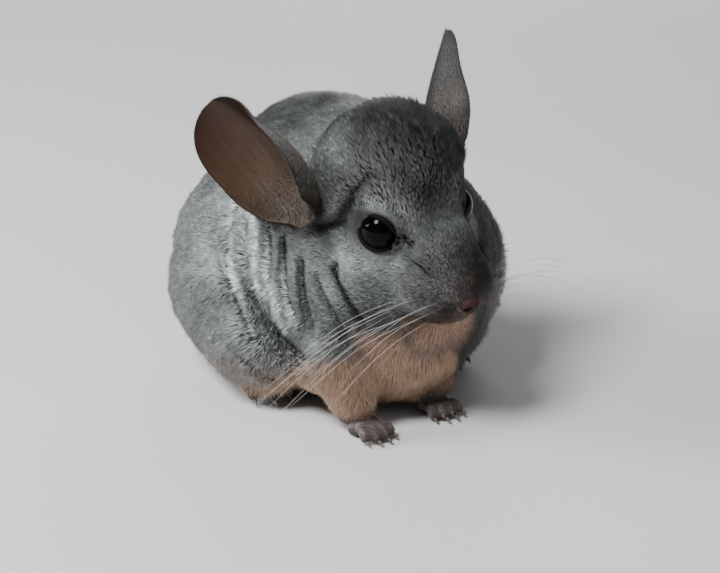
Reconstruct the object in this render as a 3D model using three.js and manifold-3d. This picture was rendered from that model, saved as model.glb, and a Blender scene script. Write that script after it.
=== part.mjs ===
import * as THREE from "three";
import { mergeVertices } from "three/addons/utils/BufferGeometryUtils.js";
import Module from "manifold-3d";

// A standard grey chinchilla, life size, sitting on all four feet,
// with its head low and turned a little to its left.
// Millimetres. +Z is up, the body faces -Y, and the animal's own left is +X. The floor is at z = 0.
// The forms are drawn to the tips of the short plush coat, so they are the outline that the eye sees.

// The gap that neighbouring pieces keep
const GAP = 0.35;

// How finely each large form is divided
const HEAD_DETAIL = 9;
const TORSO_DETAIL = 7;
const HAUNCH_DETAIL = 5;
const FORELEG_DETAIL = 4;

// Head, in its own frame: the origin is midway between the eyes, and it faces -Y too
const EYES_AT = [3, -49, 70];
const HEAD_TURN = 8.4;
const HEAD_DROP = 20;
const HEAD_TILT = -6.8;
const EYE_RADIUS = 6.6;
const EYE_AT = [14, 1.2, -0.6];
const EYE_LOOK = [0.86, -0.44, 0.25];
const LID_THICKNESS = 1;
const HOLLOW_DEPTH = 3.2;
const HOLLOW_WIDTH = 9.5;
const NOSE_AT = [0, -30.4, -12.6];
const LIP = 1.1;
const MOUTH_DEPTH = 1.4;
const MOUTH_GAP = 0.45;

// Ears, measured from the notch at the foot of the cup
const EAR_LENGTH = 50;
const EAR_WIDTH = 34;
const EAR_RIM = 1.1;
const EAR_ROOT = 2.6;

// Feet
const PAW_LENGTH = 17;
const HIND_FOOT_LENGTH = 50;
const SOLE_THICKNESS = 4.5;
const CLAW_DROOP = -0.35;

// Tail: a short-haired root, then a brush of long locks round a thin core
const TAIL_ROOT = 8.5;
const TAIL_CORE = 5.5;
const TAIL_COAT = 14.5;
const TAIL_LIE = TAIL_COAT + 0.6;
const TAIL_SPLIT = 0.36;
const BRUSH_CORE_END = 0.86;
const LOCK_RINGS = 6;
const LOCKS_PER_RING = 6;
const LOCK_WIDTH = 5.2;
const LOCK_THICKNESS = 1.3;
const LOCK_REACH = 0.26;
const LOCK_SEED = 41;

const wasm = await Module();
wasm.setup();

const vec = (p) => new THREE.Vector3(...p);
const degrees = THREE.MathUtils.degToRad;
const mix = THREE.MathUtils.lerp;
const smooth = THREE.MathUtils.smoothstep;

// The frame of something at a place, turned about Z, then X, then Y, in degrees.
function placed(at, turnZ = 0, turnX = 0, turnY = 0) {
  const turn = new THREE.Euler(degrees(turnX), degrees(turnY), degrees(turnZ), "ZXY");
  return new THREE.Matrix4().compose(
    vec(at),
    new THREE.Quaternion().setFromEuler(turn),
    new THREE.Vector3(1, 1, 1),
  );
}

// Geometry with its shared corners merged, so that it is one closed surface.
function closed(geometry) {
  const bare = geometry.clone();
  for (const name of ["normal", "uv"]) bare.deleteAttribute(name);
  return mergeVertices(bare, 1e-4);
}

function solidOf(geometry) {
  const merged = closed(geometry);
  return new wasm.Manifold(
    new wasm.Mesh({
      numProp: 3,
      vertProperties: merged.attributes.position.array,
      triVerts: new Uint32Array(merged.index.array),
    }),
  );
}

// The largest closed body of a solid, as geometry.
function geometryOf(solid) {
  const bodies = solid.decompose();
  const largest = bodies.reduce((a, b) => (b.volume() > a.volume() ? b : a));
  const mesh = largest.getMesh();
  return new THREE.BufferGeometry()
    .setAttribute("position", new THREE.BufferAttribute(new Float32Array(mesh.vertProperties), 3))
    .setIndex(new THREE.BufferAttribute(new Uint32Array(mesh.triVerts), 1));
}

function mirrored(geometry) {
  const other = closed(geometry);
  other.scale(-1, 1, 1);
  const corners = other.index.array;
  for (let i = 0; i < corners.length; i += 3)
    [corners[i + 1], corners[i + 2]] = [corners[i + 2], corners[i + 1]];
  return other;
}

// A stretched ball: how far a point is outside it, and below zero inside.
function ball(at, size, turn = [0, 0, 0]) {
  const inwards = placed(at, ...turn).invert();
  const radii = vec(size);
  const squares = radii.clone().multiply(radii);
  const local = new THREE.Vector3();
  const scaled = new THREE.Vector3();
  return (point) => {
    local.copy(point).applyMatrix4(inwards);
    const near = scaled.copy(local).divide(radii).length();
    const slope = scaled.copy(local).divide(squares).length();
    return slope < 1e-9 ? -Math.min(...size) : (near * (near - 1)) / slope;
  };
}

// The same ball on both sides of the middle plane.
const pair = (at, size, turn = [0, 0, 0]) => [
  ball(at, size, turn),
  ball([-at[0], at[1], at[2]], size, [-turn[0], turn[1], -turn[2]]),
];

// Balls that melt into one another over a given width.
function melted(width, ...balls) {
  return (point) =>
    balls.reduce((sum, one) => {
      const next = one(point);
      const share = Math.max(width - Math.abs(sum - next), 0) / width;
      return Math.min(sum, next) - (share * share * width) / 4;
    }, 1e3);
}

// The outermost point on the way out of a heart where a form has a given value.
function edgeOf(form, heart, way, swell = 0, reach = 140) {
  const point = new THREE.Vector3();
  let far = reach;
  for (let step = 0; step < 90; step++) {
    const beyond = form(point.copy(heart).addScaledVector(way, far)) - swell;
    if (Math.abs(beyond) < 0.004) break;
    far -= beyond * 0.7;
  }
  return point;
}

// The closed surface where a form has a given value, drawn outwards from a point inside it.
function surfaceOf(form, heart, detail, swell = 0, reach = 140) {
  const surface = closed(new THREE.IcosahedronGeometry(1, detail));
  const corners = surface.attributes.position;
  const way = new THREE.Vector3();
  const from = vec(heart);
  for (let i = 0; i < corners.count; i++) {
    way.fromBufferAttribute(corners, i).normalize();
    const point = edgeOf(form, from, way, swell, reach);
    corners.setXYZ(i, point.x, point.y, point.z);
  }
  return surface;
}

// A round-ended limb along a curve.
// thick gives the half width and half height at each share of the length.
function limb(curve, thick, around = 12, along = 12, up = new THREE.Vector3(0, 0, 1)) {
  const skin = closed(new THREE.SphereGeometry(1, around, along));
  const corners = skin.attributes.position;
  const point = new THREE.Vector3();
  for (let i = 0; i < corners.count; i++) {
    point.fromBufferAttribute(corners, i);
    const share = THREE.MathUtils.clamp(Math.acos(THREE.MathUtils.clamp(point.y, -1, 1)) / Math.PI, 0, 1);
    const ring = Math.hypot(point.x, point.z);
    const forward = curve.getTangent(share).normalize();
    const side = forward.clone().cross(up).normalize();
    const top = side.clone().cross(forward).normalize();
    const [wide, high] = thick(share);
    const round = Math.min(ring * 1.6, 1);
    const spin = Math.atan2(point.z, point.x);
    const place = curve.getPoint(share);
    place.addScaledVector(side, Math.cos(spin) * wide * (ring > 1e-6 ? round : 0));
    place.addScaledVector(top, Math.sin(spin) * high * (ring > 1e-6 ? round : 0));
    corners.setXYZ(i, place.x, place.y, place.z);
  }
  return faceOut(skin);
}

// Turns a closed surface the right way out if its winding faces in.
function faceOut(surface) {
  if (solidOf(surface).volume() < 0) {
    const corners = surface.index.array;
    for (let i = 0; i < corners.length; i += 3)
      [corners[i + 1], corners[i + 2]] = [corners[i + 2], corners[i + 1]];
  }
  return surface;
}

// Everything under a level, which is taken off a foot or a haunch to leave it flat there.
const under = (level) => solidOf(new THREE.BoxGeometry(600, 600, 40).translate(0, 0, level - 20));
const underFloor = under(0);

// Head

const headBulk = melted(
  7,
  ball([0, 18.5, 5], [26, 24, 24]),
  ball([0, -8, -3], [12.5, 17, 12]),
  ball([0, -17, -12], [12, 13.5, 10]),
  ball([0, 4, -15], [20, 21, 15]),
  ball([0, -12, -20], [9, 11, 7.5]),
  ...pair([14, 9, -13], [13, 16, 13]),
  ...pair([12.5, -1, -26], [11, 15, 10]),
  ...pair([7, -19.5, -14.5], [8, 9, 7.5]),
  ...pair([8.5, 3, 7], [7, 11, 7.5]),
  ...pair([20, 22, -4], [8.5, 8.5, 8.5]),
);
const HEAD_HEART = [0, 2, -4];

// The bulk of the head with a shallow hollow round each eye.
function headForm(point) {
  const apart = Math.hypot(Math.abs(point.x) - EYE_AT[0], point.y - EYE_AT[1], point.z - EYE_AT[2]);
  return headBulk(point) + HOLLOW_DEPTH * Math.exp(-((apart / HOLLOW_WIDTH) ** 2));
}
const headFrame = placed(EYES_AT, HEAD_TURN, HEAD_DROP, HEAD_TILT);

const eyeLook = vec(EYE_LOOK).normalize();

function eyeball(radius, around) {
  return new THREE.SphereGeometry(radius, around, around / 2).translate(...EYE_AT);
}

// The rim of both lids: a ring round the eye, pulled out to a corner in front and behind.
function lids() {
  const ring = new THREE.TorusGeometry(EYE_RADIUS - 0.2, LID_THICKNESS, 6, 24);
  ring.scale(1.08, 0.96, 1);
  const facing = new THREE.Matrix4().lookAt(eyeLook, new THREE.Vector3(), new THREE.Vector3(0, 0, 1));
  ring.applyMatrix4(facing);
  const out = vec(EYE_AT).addScaledVector(eyeLook, EYE_RADIUS * 0.32);
  return ring.translate(...out.toArray());
}

const noseForm = melted(
  1.2,
  ball(NOSE_AT, [3.6, 2.6, 2.6]),
  ball([0, NOSE_AT[1] + 0.4, NOSE_AT[2] - 2], [1.3, 2.2, 2.4]),
);

// The line of the mouth on the head's surface, from one corner under the whisker pads to the other.
// With a lift it is the lip above that line, and with a negative one the lip below it.
function mouthLine(lift) {
  const heart = vec(HEAD_HEART);
  const half = [
    [9.5, -13, -22.5],
    [6.5, -20.5, -22.3],
    [2.6, -25.5, -21.4],
  ];
  const line = [...half, [0, -27, -19.8], ...half.map(([x, y, z]) => [-x, y, z]).reverse()];
  const points = line.map(([x, y, z]) => {
    const way = new THREE.Vector3(x, y, z + lift).sub(heart).normalize();
    return edgeOf(headBulk, heart, way);
  });
  return new THREE.CatmullRomCurve3(points);
}

// Both lips, swollen by a gap where they are cut from a neighbour.
function lipsOf(swell) {
  const lip = (lift) => solidOf(limb(mouthLine(lift), () => [LIP * 0.75 + swell, LIP + swell], 6, 12));
  return lip(LIP).add(lip(-LIP));
}

function buildHead() {
  let head = solidOf(surfaceOf(headForm, HEAD_HEART, HEAD_DETAIL));
  for (const lid of [lids(), mirrored(lids())]) head = head.add(solidOf(lid));
  head = head.add(lipsOf(0));
  const socket = eyeball(EYE_RADIUS + GAP, 16);
  head = head.subtract(solidOf(socket)).subtract(solidOf(mirrored(socket)));
  head = head.subtract(solidOf(surfaceOf(noseForm, NOSE_AT, 3, GAP, 12)));
  return geometryOf(head.subtract(solidOf(limb(mouthLine(0), () => [MOUTH_DEPTH, MOUTH_GAP], 6, 12))));
}

function buildNose() {
  const nostril = new THREE.SphereGeometry(1, 8, 6)
    .scale(1.3, 1.5, 0.7)
    .rotateY(degrees(35))
    .translate(NOSE_AT[0] + 2, NOSE_AT[1] - 2.2, NOSE_AT[2] - 0.2);
  return geometryOf(
    solidOf(surfaceOf(noseForm, NOSE_AT, 3, 0, 12))
      .subtract(solidOf(nostril))
      .subtract(solidOf(mirrored(nostril))),
  );
}

// Ears

// One ear as a bent shell.
// foot is the notch, along the way to the tip, facing the way that the cup opens.
function earShape({ foot, along, facing, front, fold }) {
  const up = vec(along).normalize();
  const open = vec(facing);
  open.addScaledVector(up, -open.dot(up)).normalize();
  const outer = up.clone().cross(open).normalize();
  const skin = closed(new THREE.SphereGeometry(1, 22, 14));
  const corners = skin.attributes.position;
  const point = new THREE.Vector3();
  for (let i = 0; i < corners.count; i++) {
    point.fromBufferAttribute(corners, i);
    // The ball's height is the place along the ear, its x the place across, its z the side of the sheet.
    const s = Math.acos(THREE.MathUtils.clamp(point.y, -1, 1)) / Math.PI;
    const share = 1 - s;
    const ring = Math.max(Math.hypot(point.x, point.z), 1e-6);
    const across = point.x / ring;
    const side = point.z / ring;
    const half = earHalfWidth(share, across, front, fold);
    const curl = across > 0 ? mix(1.5, 0.75, share) : mix(1.9, 1.35, share);
    const edge = Math.sqrt(Math.max(1 - across * across * 0.55, 0));
    const thick = mix(EAR_ROOT, EAR_RIM, smooth(share, 0, 0.5)) * edge;
    const bend = across * curl;
    const run = (Math.sin(bend) / curl) * half;
    const depth = ((1 - Math.cos(bend)) / curl) * half;
    const lean = earLean(share);
    const place = vec(foot).addScaledVector(up, share * EAR_LENGTH);
    const inward = open.clone().multiplyScalar(Math.cos(bend)).addScaledVector(outer, -Math.sin(bend));
    place.addScaledVector(outer, run).addScaledVector(open, depth + lean);
    place.addScaledVector(inward, side * thick);
    corners.setXYZ(i, place.x, place.y, place.z);
  }
  return faceOut(skin);
}

// Half the ear's width at a share of its length: a narrow foot, widest above the middle, and a round tip.
// The front half, where across is below zero, is front times as wide at the foot,
// and wider by fold above it.
function earHalfWidth(share, across, front, fold) {
  const ahead = across < 0;
  const bulge = ahead ? fold * bump(share, 0.36, 0.2) : 0;
  const foot = mix(ahead ? front : 0.6, 1, smooth(share, 0, 0.45)) + bulge;
  const tip = Math.sqrt(Math.max(1 - Math.pow(Math.max((share - 0.62) / 0.38, 0), 2.2), 0));
  return (EAR_WIDTH / 2) * foot * tip;
}

// A smooth hump of height one round a middle.
const bump = (value, middle, width) => Math.exp(-(((value - middle) / width) ** 2));

// How far the ear's middle line bows back from a straight line.
const earLean = (share) => -4 * Math.sin(Math.PI * share);

// Each ear as if it were the left one
const EARS = {
  left: {
    foot: [24.5, 21.5, -5],
    along: [0.4, 0.64, 0.66],
    facing: [0.8, -0.58, 0.18],
    front: 0.85,
    fold: 0,
  },
  right: {
    foot: [29, 19.5, -6.5],
    along: [0.35, 0.7, 0.62],
    facing: [0.62, -0.6, 0.5],
    front: 1.1,
    fold: 0.5,
  },
};

// Torso, haunches and legs

const torsoForm = melted(
  14,
  ball([1, 24, 39], [51, 52, 37]),
  ball([0, 9, 57], [37, 47, 41]),
  ball([7, -17, 42], [44, 36, 37]),
  ball([2, -10, 64], [29, 28, 24]),
  ball([0, -36, 32], [28, 22, 29]),
);
const TORSO_HEART = [0, 12, 46];

const haunchForm = (side) =>
  melted(
    8,
    ball([side * 32, 14, 30], [22, 37, 27], [side * -6, 0, 0]),
    ball([side * 33, -6, 17], [18, 24, 14]),
  );

const FORELEGS = {
  right: { arm: [-21, -40, 25], wrist: [-19.5, -46, 12], paw: [-18, -52, 0], turn: 8 },
  left: { arm: [17, -35, 25], wrist: [13, -40, 12], paw: [11, -46, 0], turn: 4 },
};

const forelegForm = ({ arm, wrist }) => melted(6, ball(arm, [12, 12, 16]), ball(wrist, [8, 8.5, 9.5]));

// A foot: a low pad with a row of toes, each a bent limb with a small claw.
function footShape({ length, width, height, toes, toeLength, toeRadius, spread }) {
  const padSize = [width * 0.5, length * 0.52, height * 0.6];
  const padForm = melted(3, ball([0, length * 0.1, height * 0.45], padSize));
  let foot = solidOf(surfaceOf(padForm, [0, 0, height * 0.4], 3, 0, length * 2));
  for (let i = 0; i < toes; i++) {
    const across = toes > 1 ? (i / (toes - 1)) * 2 - 1 : 0;
    const root = [across * width * 0.33, -length * 0.2, height * 0.5];
    const reach = toeLength * (1 - 0.22 * across * across);
    const tip = [across * (width * 0.33 + spread), -length * 0.2 - reach, toeRadius * 0.7];
    const knuckle = [mix(root[0], tip[0], 0.55), mix(root[1], tip[1], 0.55), height * 0.62];
    const curve = new THREE.CatmullRomCurve3([root, knuckle, tip].map(vec));
    foot = foot.add(solidOf(limb(curve, (s) => [toeRadius * mix(0.9, 1.05, s), toeRadius], 6, 6)));
    const claw = new THREE.ConeGeometry(toeRadius * 0.4, toeRadius * 1.5, 6)
      .rotateX(-Math.PI / 2 - CLAW_DROOP)
      .translate(tip[0], tip[1] - toeRadius * 0.9, tip[2] + 0.2);
    foot = foot.add(solidOf(claw));
  }
  return geometryOf(foot);
}

const forepaw = {
  length: PAW_LENGTH * 0.55,
  width: 11,
  height: 6,
  toes: 4,
  toeLength: PAW_LENGTH * 0.5,
  toeRadius: 1.75,
  spread: 1.8,
};
const hindfoot = {
  length: HIND_FOOT_LENGTH * 0.72,
  width: 13,
  height: 9,
  toes: 3,
  toeLength: HIND_FOOT_LENGTH * 0.3,
  toeRadius: 2.4,
  spread: 2,
};

const HINDLEGS = {
  right: { side: -1, foot: [-33, 3, 0], turn: -6 },
  left: { side: 1, foot: [33, 3, 0], turn: 6 },
};

// Tail

// The middle line of the tail: out of the rump, down to the floor, then round the left side of the body.
const tailLine = new THREE.CatmullRomCurve3(
  [
    [0, 58, 26],
    [3, 77, 18],
    [20, 87, TAIL_LIE],
    [43, 81.5, TAIL_LIE],
    [60, 62.5, TAIL_LIE],
    [66, 37, TAIL_LIE],
  ].map(vec),
);

// The part of the tail's line between two shares of it.
class TailLength extends THREE.Curve {
  constructor(start, end) {
    super();
    this.start = start;
    this.end = end;
  }
  getPoint(share, target = new THREE.Vector3()) {
    return tailLine.getPoint(mix(this.start, this.end, share), target);
  }
}

// How far the coat reaches from the tail's middle line: short on the root, long on the brush.
const tailReach = (share) =>
  mix(TAIL_ROOT, TAIL_COAT, smooth(share, TAIL_SPLIT - 0.1, 0.46)) * mix(1, 0.75, smooth(share, 0.8, 1));

function tailRootShape(swell = 0) {
  return limb(
    new TailLength(0, TAIL_SPLIT),
    (s) => {
      const size = tailReach(s * TAIL_SPLIT) + swell;
      return [size * 0.9, size];
    },
    14,
    18,
  );
}

// The point at a share of the tail's length, at a turn round its middle line and a distance from it.
function tailPoint(share, turn, distance) {
  const at = Math.min(share, 1);
  const forward = tailLine.getTangent(at).normalize();
  const side = forward.clone().cross(new THREE.Vector3(0, 0, 1)).normalize();
  const top = side.clone().cross(forward);
  return tailLine
    .getPoint(at)
    .addScaledVector(side, Math.cos(turn) * distance * 0.9)
    .addScaledVector(top, Math.sin(turn) * distance);
}

// One flat tapered lock, rooted in the core.
// It leaves the core at a slant and bends to lie along the tail.
function lockShape(start, turn, length, reach, width) {
  const lock = closed(new THREE.ConeGeometry(1, 1, 4, 3));
  const corners = lock.attributes.position;
  const point = new THREE.Vector3();
  const root = TAIL_CORE * 0.4;
  for (let i = 0; i < corners.count; i++) {
    point.fromBufferAttribute(corners, i);
    const along = point.y + 0.5;
    const ring = Math.max(Math.hypot(point.x, point.z), 1e-6);
    const taper = along > 0.99 ? 0 : Math.sqrt(1 - along * along * 0.92);
    const far = mix(root, reach, 1 - (1 - along) ** 1.8);
    const flare = (point.x / ring) * width * taper;
    const thick = (point.z / ring) * LOCK_THICKNESS * taper;
    const place = tailPoint(start + along * length, turn + flare / Math.max(far, TAIL_CORE), far + thick);
    corners.setXYZ(i, place.x, place.y, place.z);
  }
  return faceOut(lock);
}

// The brush: rings of locks that overlap like tiles, over a core at most half as far out as their tips.
function brushShape() {
  const start = TAIL_SPLIT - 0.06;
  const core = new TailLength(start, BRUSH_CORE_END);
  const coreSize = (s) => mix(tailReach(TAIL_SPLIT), TAIL_CORE, smooth(s, 0.05, 0.45));
  let shape = solidOf(limb(core, (s) => [coreSize(s) * 0.9, coreSize(s)], 8, 10));
  let drawn = LOCK_SEED;
  const random = (least, most) => mix(least, most, THREE.MathUtils.seededRandom(drawn++));
  for (let ring = 0; ring < LOCK_RINGS; ring++) {
    const share = mix(start + 0.02, BRUSH_CORE_END - 0.05, ring / (LOCK_RINGS - 1));
    for (let i = 0; i < LOCKS_PER_RING; i++) {
      const turn = ((i + (ring % 2) / 2 + random(-0.12, 0.12)) / LOCKS_PER_RING) * 2 * Math.PI;
      const length = Math.min(LOCK_REACH * random(0.85, 1.1), 1 - share);
      const reach = tailReach(share + length * 0.7) * random(0.86, 0.94);
      shape = shape.add(solidOf(lockShape(share, turn, length, reach, LOCK_WIDTH * random(0.9, 1.1))));
    }
  }
  return shape;
}

// Materials

const coat = new THREE.MeshStandardMaterial({ color: 0x74777a, roughness: 0.9, metalness: 0 });
const paleCoat = new THREE.MeshStandardMaterial({ color: 0xc9b8aa, roughness: 0.9, metalness: 0 });
const earSkin = new THREE.MeshStandardMaterial({ color: 0x7b6255, roughness: 0.7, metalness: 0 });
const eyeDark = new THREE.MeshStandardMaterial({ color: 0x07070a, roughness: 0.05, metalness: 0 });
const noseSkin = new THREE.MeshStandardMaterial({ color: 0x6d5252, roughness: 0.6, metalness: 0 });
const footSkin = new THREE.MeshStandardMaterial({ color: 0xb09c94, roughness: 0.8, metalness: 0 });
const brush = new THREE.MeshStandardMaterial({ color: 0x4a4b4e, roughness: 0.9, metalness: 0 });

// Assembly

const chinchilla = new THREE.Group();

function add(parent, name, geometry, material) {
  const mesh = new THREE.Mesh(geometry, material);
  mesh.name = name;
  parent.add(mesh);
  return mesh;
}

const headGroup = new THREE.Group();
headFrame.decompose(headGroup.position, headGroup.quaternion, headGroup.scale);
chinchilla.add(headGroup);

add(headGroup, "head", buildHead(), coat);
add(headGroup, "nose", buildNose(), noseSkin);
const roomForHead = surfaceOf(headForm, HEAD_HEART, HEAD_DETAIL, GAP);
const roomForTorso = surfaceOf(torsoForm, TORSO_HEART, TORSO_DETAIL, GAP);
const torsoFromHead = solidOf(roomForTorso.clone().applyMatrix4(headFrame.clone().invert()));
const ears = { left: earShape(EARS.left), right: mirrored(earShape(EARS.right)) };
for (const [name, ear] of Object.entries(ears)) {
  const rooted = solidOf(ear).subtract(solidOf(roomForHead)).subtract(torsoFromHead);
  add(headGroup, `ear_${name}`, geometryOf(rooted), earSkin);
}
const eye = closed(eyeball(EYE_RADIUS, 16));
add(headGroup, "eye_left", eye, eyeDark);
add(headGroup, "eye_right", mirrored(eye), eyeDark);

const headRoom = solidOf(surfaceOf(headBulk, HEAD_HEART, HEAD_DETAIL, GAP))
  .add(lipsOf(GAP))
  .transform(headFrame.toArray());
const torsoRoom = solidOf(roomForTorso);
const tailRoom = solidOf(tailRootShape(GAP));
let torso = solidOf(surfaceOf(torsoForm, TORSO_HEART, TORSO_DETAIL));
torso = torso.subtract(headRoom).subtract(tailRoom);

for (const [name, leg] of Object.entries(FORELEGS)) {
  const form = forelegForm(leg);
  const paw = solidOf(footShape(forepaw).applyMatrix4(placed(leg.paw, leg.turn)));
  const whole = solidOf(surfaceOf(form, leg.wrist, FORELEG_DETAIL));
  const upper = whole.subtract(torsoRoom).subtract(headRoom);
  const upperRoom = solidOf(surfaceOf(form, leg.wrist, FORELEG_DETAIL, GAP));
  add(chinchilla, `foreleg_${name}`, geometryOf(upper), paleCoat);
  add(chinchilla, `forepaw_${name}`, geometryOf(paw.subtract(upperRoom).subtract(underFloor)), footSkin);
}

for (const [name, leg] of Object.entries(HINDLEGS)) {
  const form = haunchForm(leg.side);
  const heart = [leg.side * 33, 8, 26];
  const foot = solidOf(footShape(hindfoot).applyMatrix4(placed(leg.foot, leg.turn)));
  const haunchRoom = solidOf(surfaceOf(form, heart, HAUNCH_DETAIL, GAP));
  const whole = solidOf(surfaceOf(form, heart, HAUNCH_DETAIL));
  const haunch = whole.subtract(under(SOLE_THICKNESS + GAP)).subtract(tailRoom);
  torso = torso.subtract(haunchRoom);
  add(chinchilla, `hindleg_${name}`, geometryOf(haunch), coat);
  const sole = foot.subtract(haunchRoom.subtract(under(SOLE_THICKNESS))).subtract(torsoRoom);
  add(chinchilla, `hindfoot_${name}`, geometryOf(sole.subtract(underFloor)), footSkin);
}

add(chinchilla, "torso", geometryOf(torso), coat);
add(chinchilla, "tail_root", geometryOf(solidOf(tailRootShape())), brush);
add(chinchilla, "tail_brush", geometryOf(brushShape().subtract(tailRoom)), brush);

// The origin is on the floor, under the middle of the whole animal.
const reach = new THREE.Box3().setFromObject(chinchilla, true);
const middle = reach.getCenter(new THREE.Vector3());
chinchilla.position.set(-middle.x, -middle.y, 0);

export default chinchilla;
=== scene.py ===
import math

import bpy
import numpy as np
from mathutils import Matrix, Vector
from mathutils.bvhtree import BVHTree
from mathutils.kdtree import KDTree


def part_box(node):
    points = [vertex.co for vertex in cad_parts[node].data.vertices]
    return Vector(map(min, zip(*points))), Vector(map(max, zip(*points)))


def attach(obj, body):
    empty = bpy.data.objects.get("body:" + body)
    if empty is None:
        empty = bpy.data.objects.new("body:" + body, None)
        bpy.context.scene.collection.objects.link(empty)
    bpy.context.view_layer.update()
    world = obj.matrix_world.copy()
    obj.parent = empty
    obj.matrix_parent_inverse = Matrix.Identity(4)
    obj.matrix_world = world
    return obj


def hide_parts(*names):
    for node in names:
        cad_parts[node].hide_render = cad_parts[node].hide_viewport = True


# The looks of a standard grey chinchilla: one skin, a coat of fine tufts, tail hairs, ears, eyes with their
# lids and tear lines, nose, lips, feet, claws and whiskers. Lengths are millimetres of the frame until a mesh
# is written, which is in metres. Left and right are the animal's own.

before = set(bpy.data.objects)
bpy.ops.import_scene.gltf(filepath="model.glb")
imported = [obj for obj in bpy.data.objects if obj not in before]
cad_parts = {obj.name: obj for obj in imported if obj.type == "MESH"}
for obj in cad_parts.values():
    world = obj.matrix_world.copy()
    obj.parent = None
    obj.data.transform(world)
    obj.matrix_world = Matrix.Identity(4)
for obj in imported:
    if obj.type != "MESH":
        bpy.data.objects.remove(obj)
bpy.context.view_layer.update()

MM = 0.001
SIDES = {"left": 1, "right": -1}
RANDOM = np.random.default_rng(20240)

# The photograph's camera: turned and raised round the animal, this far from the near eye
VIEW_TURN = math.radians(-27)
VIEW_RISE = math.radians(20)
VIEW_DISTANCE = 550
PHOTO_WIDTH = 720
PHOTO_HEIGHT = 573
FOCAL_PIXELS = 1749
NEAR_EYE_PIXEL = (377, 232)

# How deep the coat stands over the skin
BODY_COAT = 2.2
CROWN_COAT = 1.6
CHEEK_COAT = 1.2
MUZZLE_COAT = 0.75
LID_COAT = 0.28
LEG_COAT = 1.4
FOOT_COAT = 0.3
TAIL_COAT = 2.5

SKIN_GRAIN = 0.9
EYE_RADIUS = 6.6
LID_WIDTH = 12.9
LID_HEIGHT = 11.0
LID_CORNER = 1.1
LID_EDGE = 0.5


def middle_of(node):
    low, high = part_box(node)
    return np.array((low + high) / 2) / MM


def unit(v):
    """Length one, for one way or for many."""
    v = np.asarray(v, float)
    return v / np.maximum(np.linalg.norm(v, axis=-1, keepdims=True), 1e-9)


def ramp(value, low, high):
    """0 at low, 1 at high, smooth between; low may be above high."""
    share = np.clip((np.asarray(value, float) - low) / (high - low), 0, 1)
    return share * share * (3 - 2 * share)


def hump(value, width):
    return np.exp(-((np.asarray(value) / width) ** 2))


def away_from(points, place):
    """How far each point is from a place."""
    return np.linalg.norm(points - place, axis=1)


def mix(a, b, share):
    share = np.asarray(share, float)
    return a * (1 - share) + b * share


# The head's own frame, from the eyes and the nose

EYES = {side: middle_of(f"eye_{side}") for side in SIDES}
NOSE = middle_of("nose")
BETWEEN_EYES = (EYES["left"] + EYES["right"]) / 2
NOSE_DIP = math.atan2(12.6, 30.4)
HEAD_LEFT = unit(EYES["left"] - EYES["right"])
to_nose = NOSE - BETWEEN_EYES
to_nose = unit(to_nose - (to_nose @ HEAD_LEFT) * HEAD_LEFT)
HEAD_UP = np.cross(to_nose, HEAD_LEFT)
HEAD_UP = HEAD_UP if HEAD_UP[2] > 0 else -HEAD_UP
HEAD_FORWARD = unit(to_nose * math.cos(NOSE_DIP) + HEAD_UP * math.sin(NOSE_DIP))
HEAD_UP = unit(HEAD_UP * math.cos(NOSE_DIP) - to_nose * math.sin(NOSE_DIP))


def in_head(points):
    """Forward, left and up of the point between the eyes."""
    away = np.asarray(points) - BETWEEN_EYES
    return away @ HEAD_FORWARD, away @ HEAD_LEFT, away @ HEAD_UP


def from_head(forward, left, up):
    return BETWEEN_EYES + forward * HEAD_FORWARD + left * HEAD_LEFT + up * HEAD_UP


def from_drawn_head(x, y, z):
    """A place given as left, back and up, as the solids of the head are drawn."""
    return from_head(1.2 - y, x, z + 0.6)


HEAD_MIDDLE = from_head(-10, 0, -4)

# Camera

CAMERA_RIGHT = np.array([math.cos(VIEW_TURN), math.sin(VIEW_TURN), 0])
LEVEL_BACK = np.array([math.sin(VIEW_TURN), -math.cos(VIEW_TURN), 0])
CAMERA_BACK = LEVEL_BACK * math.cos(VIEW_RISE) + np.array([0, 0, math.sin(VIEW_RISE)])
CAMERA_UP = np.cross(CAMERA_BACK, CAMERA_RIGHT)
NEAR_EYE = BETWEEN_EYES + np.array([-16.0, -3.0, -1.65])


def through(pixel):
    """From the camera towards a pixel of the photograph, one unit deep."""
    right = (pixel[0] - PHOTO_WIDTH / 2) / FOCAL_PIXELS
    up = (PHOTO_HEIGHT / 2 - pixel[1]) / FOCAL_PIXELS
    return right * CAMERA_RIGHT + up * CAMERA_UP - CAMERA_BACK


CAMERA_AT = NEAR_EYE - VIEW_DISTANCE * through(NEAR_EYE_PIXEL)


def add_object(name, data):
    made = bpy.data.objects.new(name, data)
    bpy.context.scene.collection.objects.link(made)
    return made


def look_along(thing, place, way):
    """Puts a camera or a lamp at a place in metres, looking this way."""
    thing.location = Vector(place)
    thing.rotation_mode = "QUATERNION"
    thing.rotation_quaternion = Vector(way).to_track_quat("-Z", "Y")


def make_camera():
    data = bpy.data.cameras.new("camera")
    data.lens = FOCAL_PIXELS * 36 / PHOTO_WIDTH
    data.sensor_width = 36
    data.clip_start = 0.05
    data.clip_end = 20
    camera = add_object("camera", data)
    look_along(camera, CAMERA_AT * MM, -CAMERA_BACK)
    bpy.context.scene.camera = camera


# Mesh helpers


def deselect():
    for thing in bpy.context.selected_objects:
        thing.select_set(False)


def make_active(thing):
    deselect()
    thing.select_set(True)
    bpy.context.view_layer.objects.active = thing


def apply_modifier(thing, kind, **settings):
    make_active(thing)
    modifier = thing.modifiers.new(kind.lower(), kind)
    for name, value in settings.items():
        setattr(modifier, name, value)
    bpy.ops.object.modifier_apply(modifier=modifier.name)


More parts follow.
